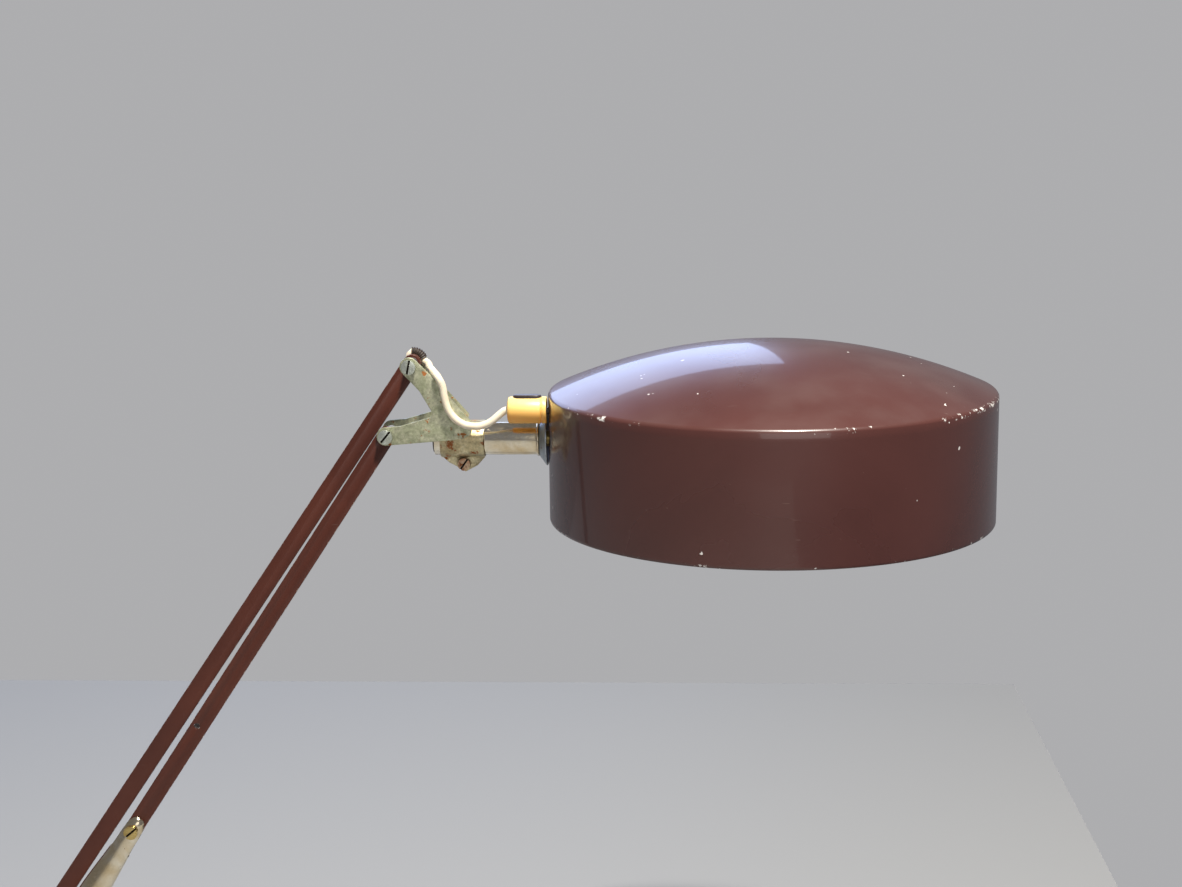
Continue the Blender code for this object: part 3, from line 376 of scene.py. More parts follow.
materials = {
    "brown_enamel": makeBarEnamel(),
    "shade_enamel": makeShadeEnamel(),
    "chrome": makeMetal("wornChrome", (0.82, 0.77, 0.64), (0.62, 0.50, 0.31), (0.16, 0.08, 0.03),
        (0.07, 0.24), 0.67, 220.0, 1.0, 0.0, 60.0),
    "zinc": makeMetal("dullZinc", (0.56, 0.56, 0.40), (0.36, 0.38, 0.25), (0.36, 0.13, 0.03), (0.38, 0.6),
        0.605, 190.0, 0.75, 0.5, 150.0, 650.0, 0.38),
    "zincScrew": makeMetal("zincScrew", (0.58, 0.62, 0.55), (0.42, 0.45, 0.38), (0.34, 0.14, 0.05),
        (0.28, 0.45), 0.66, 300.0, 0.85, 0.5, 160.0, 900.0, 0.25),
    "rustyScrew": makeMetal("rustyScrew", (0.58, 0.42, 0.28), (0.44, 0.22, 0.12), (0.26, 0.09, 0.03),
        (0.35, 0.55), 0.58, 300.0, 0.7, 0.4, 260.0, 900.0, 0.3),
    "rustyZinc": makeMetal("rustyZinc", (0.60, 0.54, 0.35), (0.46, 0.38, 0.21), (0.33, 0.11, 0.03),
        (0.34, 0.55), 0.555, 130.0, 0.8, 0.5, 90.0, 650.0, 0.35),
    "steel": makeMetal("plainSteel", (0.42, 0.46, 0.50), (0.30, 0.33, 0.34), (0.22, 0.10, 0.04), (0.3, 0.5),
        0.64, 230.0, 0.9, 0.3, 80.0),
    "brass": makeMetal("tarnishedBrass", (0.66, 0.50, 0.20), (0.42, 0.30, 0.10), (0.14, 0.22, 0.12),
        (0.25, 0.45), 0.66, 260.0, 0.95, 0.3, 120.0),
    "cast_iron": makeMetal("castIron", (0.10, 0.10, 0.10), (0.06, 0.06, 0.06), (0.10, 0.05, 0.03), (0.6, 0.8),
        0.62, 90.0, 0.5),
    "pad_rubber": makePlain("padRubber", (0.035, 0.035, 0.035), (0.025, 0.025, 0.025), (0.75, 0.9)),
    "dark_rubber": makePlain("darkRubber", (0.040, 0.026, 0.020), (0.022, 0.016, 0.013), (0.45, 0.65), 90.0,
        0.25),
    "dark_plastic": makePlain("darkPlastic", (0.045, 0.032, 0.030), (0.030, 0.022, 0.020), (0.25, 0.4), 60.0),
    # the yellow plastic's last colour is painted shade on its downward faces
    "yellow_plastic": makePlain("yellowPlastic", (0.96, 0.76, 0.30), (0.95, 0.69, 0.24), (0.28, 0.42), 70.0,
        0.08, 0.06, (0.92, 0.44, 0.08), Subsurface_Weight=0.12, Subsurface_Scale=0.003),
    "flex_cream": makePlain("flexCream", (0.86, 0.78, 0.62), (0.78, 0.69, 0.52), (0.3, 0.45), 120.0, 0.06,
        0.12, None, Subsurface_Weight=0.08, Subsurface_Scale=0.002),
    "ceramic": makePlain("glazedCeramic", (0.80, 0.78, 0.72), (0.74, 0.71, 0.64), (0.12, 0.2), 40.0, 0.05),
    "bulb_glass": makeBulbGlass(),
}
print("materials made:", len(materials))


# ---- finishing a piece: it sits at the origin, with its place in its mesh
def place(piece, body, slotName, *replaced, finish=None):
    piece.data.materials.clear()
    piece.data.materials.append(materials[finish or slotName])
    if body:
        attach(piece, body)
    if replaced:
        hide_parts(*replaced)
    return piece


def newObject(name, data):
    piece = bpy.data.objects.new(name, data)
    scene.collection.objects.link(piece)
    return piece


def settle(piece):
    # what the live modifiers make becomes the piece's own mesh
    shaped = bpy.data.meshes.new_from_object(piece.evaluated_get(bpy.context.evaluated_depsgraph_get()))
    piece.modifiers.clear()
    piece.data = shaped
    return piece


def smooth(piece, angle=38):
    piece.data.shade_smooth()
    piece.data.set_sharp_from_angle(angle=math.radians(angle))


def easeEdges(piece, width, segments=3, angle=35):
    bevel = piece.modifiers.new("easedEdges", "BEVEL")
    bevel.width = width
    bevel.segments = segments
    bevel.limit_method = "ANGLE"
    bevel.angle_limit = math.radians(angle)
    bevel.use_clamp_overlap = True
    bevel.harden_normals = True
    piece.data.shade_smooth()
    settle(piece)
    return piece


def cleanCopy(node):
    bm = bmesh.new()
    bm.from_mesh(nodes[node].data)
    bmesh.ops.remove_doubles(bm, verts=bm.verts, dist=2e-6)
    bmesh.ops.dissolve_limit(bm, angle_limit=math.radians(0.4), verts=bm.verts, edges=bm.edges)
    return bm


def easedCopy(node, name, width, segments=3, finish=None):
    # the node's own shape with its sharp edges broken
    bm = cleanCopy(node)
    mesh = bpy.data.meshes.new(name)
    bm.to_mesh(mesh)
    bm.free()
    piece = easeEdges(newObject(name, mesh), width, segments)
    return place(piece, bodyOf[node], slotOf[node], node, finish=finish)


def frameAlong(way):
    axis = Vector(way).normalized()
    flat = Vector((0, 0, 1)) if abs(axis.z) < 0.9 else Vector((1, 0, 0))
    across = flat.cross(axis).normalized()
    return Matrix((across, axis.cross(across), axis)).transposed().to_4x4()


# ---- geometry nodes: a section turned round its axis
def startTree(name, inputs):
    tree = bpy.data.node_groups.new(name, "GeometryNodeTree")
    tree.interface.new_socket(name="Geometry", in_out="INPUT", socket_type="NodeSocketGeometry")
    for label, kind in inputs:
        tree.interface.new_socket(name=label, in_out="INPUT", socket_type=kind)
    tree.interface.new_socket(name="Geometry", in_out="OUTPUT", socket_type="NodeSocketGeometry")
    return tree, tree.nodes.new("NodeGroupInput").outputs, tree.nodes.new("NodeGroupOutput")


def endTree(tree, given, made, geometry):
    real = addNode(tree, "GeometryNodeRealizeInstances", {"Geometry": geometry})
    painted = addNode(tree, "GeometryNodeSetMaterial", {"Geometry": real.outputs[0],
            "Material": given["Material"]})
    tree.links.new(painted.outputs[0], made.inputs[0])
    return tree


def makeTurningTree():
    sockets = [("Sides", "NodeSocketInt"), ("Points", "NodeSocketInt"), ("Material", "NodeSocketMaterial")]
    tree, given, made = startTree("turnedSection", sockets)
    around = calc(tree, "ADD", given["Sides"], 1.0)
    grid = addNode(tree, "GeometryNodeMeshGrid", {"Size X": 1.0, "Size Y": 1.0, "Vertices X": around,
            "Vertices Y": given["Points"]})
    at = addNode(tree, "ShaderNodeSeparateXYZ", {0: addNode(tree, "GeometryNodeInputPosition").outputs[0]})
    angle = calc(tree, "MULTIPLY", calc(tree, "ADD", at.outputs["X"], 0.5), 2 * math.pi)
    share = calc(tree, "ADD", at.outputs["Y"], 0.5)
    last = calc(tree, "SUBTRACT", given["Points"], 1.0)
    index = calc(tree, "ROUND", calc(tree, "MULTIPLY", share, last))
    picked = addNode(tree, "GeometryNodeSampleIndex", {"Geometry": given["Geometry"], "Index": index},
            data_type="FLOAT_VECTOR", domain="POINT")
    tree.links.new(addNode(tree, "GeometryNodeInputPosition").outputs[0], picked.inputs["Value"])
    section = addNode(tree, "ShaderNodeSeparateXYZ", {0: picked.outputs[0]})
    x = calc(tree, "MULTIPLY", section.outputs["X"], calc(tree, "COSINE", angle))
    y = calc(tree, "MULTIPLY", section.outputs["X"], calc(tree, "SINE", angle))
    spot = vector(tree, X=x, Y=y, Z=section.outputs["Z"])
    spun = addNode(tree, "GeometryNodeSetPosition", {"Geometry": grid.outputs["Mesh"], "Position": spot})
    closed = addNode(tree, "GeometryNodeMergeByDistance", {"Geometry": spun.outputs[0], "Distance": 1e-6})
    return endTree(tree, given, made, closed.outputs[0])


def runTree(piece, tree, values):
    grown = piece.modifiers.new("shape", "NODES")
    grown.node_group = tree
    for item in tree.interface.items_tree:
        if item.item_type == "SOCKET" and item.in_out == "INPUT" and item.name in values:
            grown[item.identifier] = values[item.name]
    return settle(piece)


turningTree = makeTurningTree()


def weld(mesh, thin=0.0, matrix=None):
    # doubles merged, faces turned outward
    bm = bmesh.new()
    bm.from_mesh(mesh)
    bmesh.ops.remove_doubles(bm, verts=bm.verts, dist=1e-6)
    if thin:
        bmesh.ops.dissolve_degenerate(bm, dist=thin, edges=bm.edges)
    bmesh.ops.recalc_face_normals(bm, faces=bm.faces)
    if matrix:
        bm.transform(matrix)
    bm.to_mesh(mesh)
    bm.free()


def turnSection(name, section, foot, way, slotName, sides=96):
    mesh = bpy.data.meshes.new(name)
    mesh.from_pydata([(r, 0, z) for r, z in section], [(k, k + 1) for k in range(len(section) - 1)], [])
    piece = newObject(name, mesh)
    runTree(piece, turningTree, {"Sides": sides, "Points": len(section), "Material": materials[slotName]})
    weld(piece.data, 1e-7, Matrix.Translation(foot) @ frameAlong(way))
    return piece


meridian = {"onAxis": 5e-6, "apart": 0.004}


def sectionOf(node, foot, way):
    # the node's own section, walked along one meridian of its mesh
    bm = bmesh.new()
    bm.from_mesh(nodes[node].data)
    bmesh.ops.remove_doubles(bm, verts=bm.verts, dist=2e-6)
    bm.transform(frameAlong(way).inverted() @ Matrix.Translation(-Vector(foot)))
    widest = max(bm.verts, key=lambda v: v.co.x ** 2 + v.co.y ** 2)
    wanted = math.atan2(widest.co.y, widest.co.x)
    line = []
    for v in bm.verts:
        off = (math.atan2(v.co.y, v.co.x) - wanted + math.pi) % (2 * math.pi) - math.pi
        if v.co.xy.length < meridian["onAxis"] or abs(off) < meridian["apart"]:
            line.append(v)
    kept = set(line)
    onAxis = [v for v in line if v.co.xy.length < meridian["onAxis"]]
    links = {v: [e.other_vert(v) for e in v.link_edges if e.other_vert(v) in kept
                 and not (v in onAxis and e.other_vert(v) in onAxis)] for v in line}
    start = min(onAxis, key=lambda v: v.co.z) if onAxis else min(line, key=lambda v: (v.co.z, v.co.xy.length))
    walked, current, before = [start], start, None
    while True:
        onward = [v for v in links[current] if v is not before and (v is start or v not in walked)]
        if not onward:
            break
        before, current = current, onward[0]
        walked.append(current)
        if current is start:
            break
    section = [(max(0.0, v.co.xy.length), v.co.z) for v in walked]
    bm.free()
    return section


def turnedAgain(node, name, foot, way, width, sides):
    # same section, many more sides and eased edges
    piece = turnSection(name, sectionOf(node, foot, way), foot, way, slotOf[node], sides)
    if width:
        easeEdges(piece, width, 3)
    else:
        smooth(piece)
    place(piece, bodyOf[node], slotOf[node], node)


# ---- smooth line through a route's own points
def smoothRoute(points, spacing):
    pts = [Vector(p) for p in points]
    pts = [2 * pts[0] - pts[1], *pts, 2 * pts[-1] - pts[-2]]
    fine = []
    for p0, p1, p2, p3 in zip(pts, pts[1:], pts[2:], pts[3:]):
        for k in range(20):
            t = k / 20
            fine.append(0.5 * (2 * p1 + (p2 - p0) * t + (2 * p0 - 5 * p1 + 4 * p2 - p3) * t * t
                    + (3 * p1 - p0 - 3 * p2 + p3) * t ** 3))
    fine.append(pts[-2])
    total = sum((b - a).length for a, b in zip(fine, fine[1:]))
    count = max(3, round(total / spacing))
    even, walked, step = [fine[0]], 0.0, total / count
    for a, b in zip(fine, fine[1:]):
        length = (b - a).length
        while len(even) < count and walked + length >= step * len(even) - 1e-9:
            even.append(a.lerp(b, (step * len(even) - walked) / length))
        walked += length
    even.append(fine[-1])
    return even


def lengthOf(line):
    return sum((b - a).length for a, b in zip(line, line[1:]))


def tubeAlong(name, line, radius, resolution=5):
    data = bpy.data.curves.new(name, "CURVE")
    data.dimensions = "3D"
    data.bevel_depth = radius
    data.bevel_resolution = resolution
    data.use_fill_caps = True
    spline = data.splines.new("POLY")
    spline.points.add(len(line) - 1)
    for point, at in zip(spline.points, line):
        point.co = (*at, 1)
    piece = newObject(name, data)
    mesh = bpy.data.meshes.new_from_object(piece.evaluated_get(bpy.context.evaluated_depsgraph_get()))
    bpy.data.objects.remove(piece)
    solid = newObject(name, mesh)
    weld(mesh)
    smooth(solid, 50)
    return solid


# ---- flex: from the boot to the switch, from the rear bar to the turntable, and the mains lead
flexSizes = {"radius": 2.3 * mm, "bootReach": 6.05 * mm, "bootY": 8.3 * mm, "frontY": -15.9 * mm,
             "loopHigh": 0.158, "loopLow": 0.064, "headStart": 34 * mm, "headEnd": 74 * mm,
             "bootExit": 16}


def makeHeadFlex():
    x, z, front = forkLow.x, forkLow.z, flexSizes["frontY"]
    a = math.radians(flexSizes["bootExit"])
    reach = flexSizes["bootReach"]
    start = Vector((forkHigh.x + reach * math.cos(a), flexSizes["bootY"], forkHigh.z + reach * math.sin(a)))
    offsets = [(22.2, 7.9, 43.2), (25.0, 4.4, 41.8), (26.6, -2.0, 40.6), (29.6, -9.6, 39.4),
               (33.2, -15.4, 36.6), (35.8, -15.9, 31.2), (36.8, -15.9, 24.6), (38.9, -15.9, 17.0),
               (43.1, -15.9, 11.3), (48.6, -15.9, 7.8), (54.4, -15.9, 6.8), (59.0, -15.9, 7.2),
               (64.0, -15.7, 9.2), (68.4, -15.4, 12.6), (72.2, -15.0, 15.8)]
    route = [start] + [Vector((x + u * mm, y * mm, z + w * mm)) for u, y, w in offsets]
    end = Vector((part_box("switch_housing")[0][0] - 0.3 * mm, switchMiddle.y, switchMiddle.z))
    route.append(end)
    line = smoothRoute(route, 2.0 * mm)
    piece = tubeAlong("headFlex", line, flexSizes["radius"], 6)
    place(piece, None, "flex_cream", "head_flex")
    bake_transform(piece)


def makeLowerLoop():
    points = [(41.0, 8.6, 164.5), (34.5, 13.2, 154.5), (27.0, 18.5, 140.0), (17.0, 22.5, 119.0),
              (7.0, 23.5, 97.0), (-0.5, 21.5, 77.0), (-5.0, 18.0, 64.0), (-5.0, 14.5, 55.2)]
    line = smoothRoute([Vector(p) * mm for p in points], 2.0 * mm)
    piece = tubeAlong("lowerLoop", line, flexSizes["radius"], 5)
    place(piece, None, "flex_cream", "lower_flex_loop")
    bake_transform(piece)


coilSizes = {"center": (-50 * mm, 200 * mm), "radii": (30.1 * mm, 25.5 * mm, 20.9 * mm), "low": 3.4 * mm,
             "pitch": 4.6 * mm, "turns": 11, "steps": 40, "begin": 12, "leave": 150,
             "landing": 191, "level": 0.82, "crossing": 0.18}


def makeMainsLead():
    lead = [(0, 149.3, 8), (0, 157, 7.2), (-2.6, 167, 4.6), (-8.2, 177.5, 2.7), (-13.4, 184.5, 2.4),
            (-17.4, 189.6, 2.4)]
    tail = [(-85.8, 193, 2.4), (-87.4, 186.5, 3.4), (-88, 180.5, 5.4), (-88, 175, 6.8), (-88, 170.6, 7)]
    cx, cy = coilSizes["center"]
    out, mid, inner = coilSizes["radii"]
    order = [(out, 0), (mid, 0), (inner, 0), (inner, 1), (mid, 1), (out, 1), (out, 2), (mid, 2), (inner, 2),
             (inner, 3), (mid, 3), (out, 3)]
    begin, leave, landing = (math.radians(coilSizes[k]) for k in ("begin", "leave", "landing"))
    swing = 2 * math.pi * (coilSizes["turns"] - 1) + leave - begin
    coil = []
    count = int(coilSizes["steps"] * swing / (2 * math.pi))
    for k in range(count + 1):
        turns = swing * k / count / (2 * math.pi)
        whole = int(turns)
        shift = max(0.0, (turns - whole - coilSizes["level"]) / coilSizes["crossing"])
        shift = shift * shift * (3 - 2 * shift)
        (r0, h0), (r1, h1) = order[whole], order[whole + 1]
        r = r0 + (r1 - r0) * shift
        z = coilSizes["low"] + coilSizes["pitch"] * (h0 + (h1 - h0) * shift)
        a = begin + 2 * math.pi * turns
        coil.append(Vector((cx + r * math.cos(a), cy + r * math.sin(a), z)))
    # down the outside of the coil to the table
    down = []
    for share, r, z in ((0.35, 31.0, 16.2), (0.7, 34.6, 9.6), (0.9, 36.0, 4.6)):
        a = leave + share * (landing - leave)
        down.append((cx / mm + r * math.cos(a), cy / mm + r * math.sin(a), z))
    start = smoothRoute([Vector(p) * mm for p in lead] + coil[1:3], 3 * mm)[:-2]
    away = smoothRoute(coil[-3:] + [Vector(p) * mm for p in down + tail], 3 * mm)
    line = [p for p in start if (p - coil[1]).length > 2 * mm] + coil[1:-2] + away[2:]
    piece = tubeAlong("mainsLead", line, flexSizes["radius"], 3)
    place(piece, "base", "flex_cream", "mains_lead", "mains_coil", "mains_tail")
    return piece, line


barFlexSizes = {"slope": 55.45, "length": 448 * mm}


def makeBarFlex():
    # held in the rear bar, from its lower end up to the boot
    slope = math.radians(barFlexSizes["slope"])
    run = Vector((math.cos(slope), 0, math.sin(slope)))
    left = Vector((-run.z, 0, run.x))
    lowEnd = forkHigh - barFlexSizes["length"] * run
    reach, bootY = flexSizes["bootReach"] / mm, flexSizes["bootY"] / mm
    stops = [(46, 0, 8.6), (56, 0, 6.0), (70, 0, 4.2), (100, 0, 4.2), (170, 0, 4.2), (240, 0, 4.2),
             (320, 0, 4.2), (404, 0, 4.2), (417, 0, 6.6), (426, 0.3, 8.0), (436, 1.0, bootY),
             (443, 2.1, bootY), (448, 3.2, bootY)]
    route = [lowEnd + (u * run + v * left + Vector((0, y, 0))) * mm for u, v, y in stops]
    # the last stretch lies on the boot's own centre line, far enough in to stay covered as the fork turns
    for a, r in ((116, 4.9), (105, reach - 0.3), *((b, reach) for b in range(98, 69, -7))):
        b = math.radians(a)
        route.append(forkHigh + Vector((r * math.cos(b), bootY, r * math.sin(b))) * mm)
    piece = tubeAlong("barFlex", smoothRoute(route, 2.5 * mm), flexSizes["radius"], 5)
    place(piece, "link", "flex_cream", "flex_in_bar")


makeBarFlex()
makeHeadFlex()
makeLowerLoop()
mainsLead, mainsLine = makeMainsLead()
print("flex laid:", round(lengthOf(mainsLine), 3), "m of mains lead")

# ---- the drum shade: a shallow dome over a straight wall, its lower edge turned in
drum = {"wall": 1.2 * mm, "domeRise": 28.3 * mm, "rimBend": 2.2 * mm, "hem": 2.4 * mm, "sides": 224,
        "arcs": 40, "bendAngle": math.radians(66)}


def makeShade():
    r, rise, wall, bend = shadeRadius, drum["domeRise"], drum["wall"], drum["rimBend"]
    sphere = (r * r + rise * rise) / (2 * rise)
    outside, inside = [], []
    for k in range(drum["arcs"] + 1):
        u = (r - bend) * k / drum["arcs"]
        outside.append((u, math.sqrt(sphere ** 2 - u ** 2) - sphere + rise))
        v = (r - bend - wall) * k / drum["arcs"]
        inside.append((v, math.sqrt(sphere ** 2 - v ** 2) - sphere + rise - wall))
    # a small round where the dome turns into the wall
    edgeZ = outside[-1][1]
    most = drum["bendAngle"]
    for k in range(1, 8):
        a = most * (1 - k / 7)
        outside.append((r - bend + bend * math.cos(a) - (bend * math.cos(most)) * (1 - k / 7),
                        edgeZ - bend * 1.05 * (1 - math.sin(a) / math.sin(most))))
    low = -wallHeight
    outside += [(r, -6 * mm), (r, -30 * mm), (r, -55 * mm), (r, low + 2.0 * mm)]
    for k in range(1, 7):
        a = math.radians(90 * k / 6)
        outside.append((r - 0.9 * mm + 0.9 * mm * math.cos(a), low + 0.9 * mm - 0.9 * mm * math.sin(a)))
    outside += [(r - drum["hem"], low), (r - drum["hem"], low + 2.2 * mm)]
    inside += [(r - wall - 0.4 * mm, -2.4 * mm), (r - wall, -4.0 * mm), (r - wall, -40 * mm),
               (r - wall, low + 3 * mm)]
    section = outside + inside[::-1]
    foot = Vector((shadeMiddle.x, shadeMiddle.y, rimHeight))
    piece = turnSection("drumShade", section, foot, (0, 0, 1), "shade_enamel", drum["sides"])
    piece.data.shade_smooth()
    piece.data.set_sharp_from_angle(angle=math.radians(50))
    flag = piece.data.attributes.new("inside", "FLOAT", "FACE")
    for face in piece.data.polygons:
        spot = face.center - foot
        out = spot.xy.length
        dome = math.sqrt(max(0.0, sphere ** 2 - out ** 2)) - sphere + rise
        hidden = out < r - 0.5 * wall and spot.z < dome - 0.5 * wall and spot.z > low + 0.5 * mm
        flag.data[face.index].value = 1.0 if hidden else 0.0
    return place(piece, "head", "shade_enamel", "shade")


shade = makeShade()
print("shade turned:", len(shade.data.polygons), "faces")

# ---- other turned pieces, from the frame's own sections
upWay = (0, 0, 1)
headWay = (1, 0, 0)
tubeFoot = (0, 0, tubeHeight)
barrelFoot = (lowerPivot.x, middle("spring_barrel").y, lowerPivot.z)
turnedPieces = [
    ("base_cover", "baseCover", (0, 0, 0), upWay, 0.8 * mm, 160),
    ("base_pad", "basePad", (0, 0, 0), upWay, 0.4 * mm, 128),
    ("wall_washer_outer", "dishedWasher", tubeFoot, headWay, 0.25 * mm, 72),
    ("lampholder", "lampHolder", tubeFoot, headWay, 0.5 * mm, 72),
    ("bulb_cap", "bulbCap", tubeFoot, headWay, 0.3 * mm, 64),
    ("bulb", "bulbGlobe", tubeFoot, headWay, 0.0, 72),
]
for node, name, foot, way, width, sides in turnedPieces:
    turnedAgain(node, name, foot, way, width, sides)
print("turned pieces made")


def cutBox(piece, low, high, matrix):
    bm = bmesh.new()
    made = bmesh.ops.create_cube(bm, size=1.0)["verts"]
    low, high = Vector(low), Vector(high)
    for v in made:
        v.co = Vector(((low[i] + high[i]) / 2 + v.co[i] * (high[i] - low[i]) for i in range(3)))
    bm.transform(matrix)
    bmesh.ops.recalc_face_normals(bm, faces=bm.faces)
    mesh = bpy.data.meshes.new("cutter")
    bm.to_mesh(mesh)
    bm.free()
    cutter = newObject("cutter", mesh)
    taken = piece.modifiers.new("cut", "BOOLEAN")
    taken.operation = "DIFFERENCE"
    taken.object = cutter
    bpy.context.view_layer.update()
    settle(piece)
    bpy.data.objects.remove(cutter)


# ---- spring barrel: the lower end of the front bar, with a slotted nose
barrel = {"sides": 96, "radius": 9.2 * mm, "wall": 1.2 * mm, "start": 14.0 * mm, "slotBack": 19.0 * mm,
          "slotFront": 12.0 * mm, "slotHalf": 2.6 * mm}


def makeBarrel():
    nose = middle("nose_screw")
    reach = (Vector((nose.x, 0, nose.z)) - lowerPivot).length
    r, bore, start = barrel["radius"], barrel["radius"] - barrel["wall"], barrel["start"]
    section = [(r, start), (r, reach - 75 * mm), (r, reach - 58 * mm)]
    # the long taper swells a little before it runs into the round nose
    for k in range(1, 13):
        t = k / 12
        ease = t * t * (3 - 2 * t)
        section.append((r - 2.6 * mm * ease, reach - 58 * mm + 52 * mm * t))
    for back, radius in ((-2, 6.2), (-5, 5.6), (-7.2, 4.6), (-8.4, 3.6), (-8.8, 2.8)):
        section.append((radius * mm, reach - back * mm))
    section += [(2.0 * mm, reach + 7.2 * mm), (4.0 * mm, reach + 5.4 * mm), (5.1 * mm, reach + mm),
                (5.5 * mm, reach - 6 * mm), (7.2 * mm, reach - 30 * mm), (bore, reach - 58 * mm),
                (bore, start), (r, start)]
    piece = turnSection("springBarrel", section, barrelFoot, armWay, "chrome", barrel["sides"])
    noseFrame = Matrix.Translation(Vector((nose.x, barrelFoot[1], nose.z))) @ frameAlong(armWay)
    half = barrel["slotHalf"]
    # the cut's thin way runs across the bar, along Y
    across = frameAlong(armWay).to_3x3().transposed() @ Vector((0, 1, 0))
    thin = 0 if abs(across.x) > 0.5 else 1
    low = [-12 * mm, -12 * mm, -barrel["slotBack"]]
    high = [12 * mm, 12 * mm, barrel["slotFront"]]
    low[thin], high[thin] = -half, half
    cutBox(piece, low, high, noseFrame)
    easeEdges(piece, 0.35 * mm, 3, 40)
    place(piece, "arm", "chrome", "spring_barrel")


makeBarrel()

# ---- pieces that keep the frame's shape, with their edges eased
easedPieces = [
    ("turntable", "turntableDisc", 0.4), ("arm_bar", "frontBar", 0.45), ("link_bar", "rearBar", 0.45),
    ("link_foot", "linkFoot", 0.35), ("fork_plate_front", "forkPlateFront", 0.3),
    ("fork_plate_rear", "forkPlateRear", 0.3), ("clamp_front", "clampFront", 0.25),
    ("clamp_rear", "clampRear", 0.25), ("yoke_front", "yokeFront", 0.35), ("yoke_rear", "yokeRear", 0.35),
    ("head_tube", "headTube", 0.3), ("tube_cap", "tubeCap", 0.3), ("post_drum", "postDrum", 0.8),
    ("push_button", "pushButton", 0.7), ("switch_housing", "switchHousing", 0.45),
    ("pivot_eye", "pivotEye", 0.4), ("barrel_plug", "barrelPlug", 0.3), ("cord_gland", "cordGland", 0.6),
    ("plug_body", "plugBody", 1.4), ("coil_tie", "coilTie", 0.3), ("flex_grommet", "flexGrommet", 0.4),
    ("upper_spacer", "upperSpacer", 0.25), ("fork_nut_upper", "forkNutUpper", 0.25),
    ("fork_nut_lower", "forkNutLower", 0.25), ("clamp_nut", "clampNut", 0.25),
    ("nose_nut", "noseNut", 0.2), ("lower_pivot_nut", "lowerPivotNut", 0.25),
    ("plug_pin_left", "plugPinLeft", 0.5), ("plug_pin_right", "plugPinRight", 0.5),
    ("link_stud", "linkStud", 0.25)]
for node, name, width in easedPieces:
    looks = "rustyZinc" if node.startswith("clamp_") else None
    easedCopy(node, name, width * mm, 2 if width < 0.3 else 3, looks)
print("eased pieces made:", len(easedPieces))

# ---- painted shade: a dark disc in the front bar's small hole stands in for the shade inside it
hole = {"fromFork": 224 * mm, "offset": 1.5 * mm, "radius": 1.75 * mm}


def makeHoleShade():
    side = Vector((-armWay.z, 0, armWay.x))
    at = forkLow - hole["fromFork"] * armWay + hole["offset"] * side
    r, front = hole["radius"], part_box("arm_bar")[0][1]
    section = [(0, 0.9 * mm), (r * 0.6, 0.8 * mm), (r, 0.55 * mm), (r, 2.2 * mm), (0, 2.2 * mm)]
    # painted shade: dark disc set just inside the hole
    piece = turnSection("holeShade", section, Vector((at.x, front, at.z)), (0, 1, 0), "dark_plastic", 32)
    smooth(piece)
    place(piece, "arm", "dark_plastic")


makeHoleShade()

# ---- slotted screws: one tree, one mesh for each body
screwSizes = {"head": 4.4 * mm, "height": 2.9 * mm, "dome": 0.35 * mm, "slotWidth": 1.25 * mm,
              "slotDepth": 1.7 * mm, "shank": 2.5 * mm}


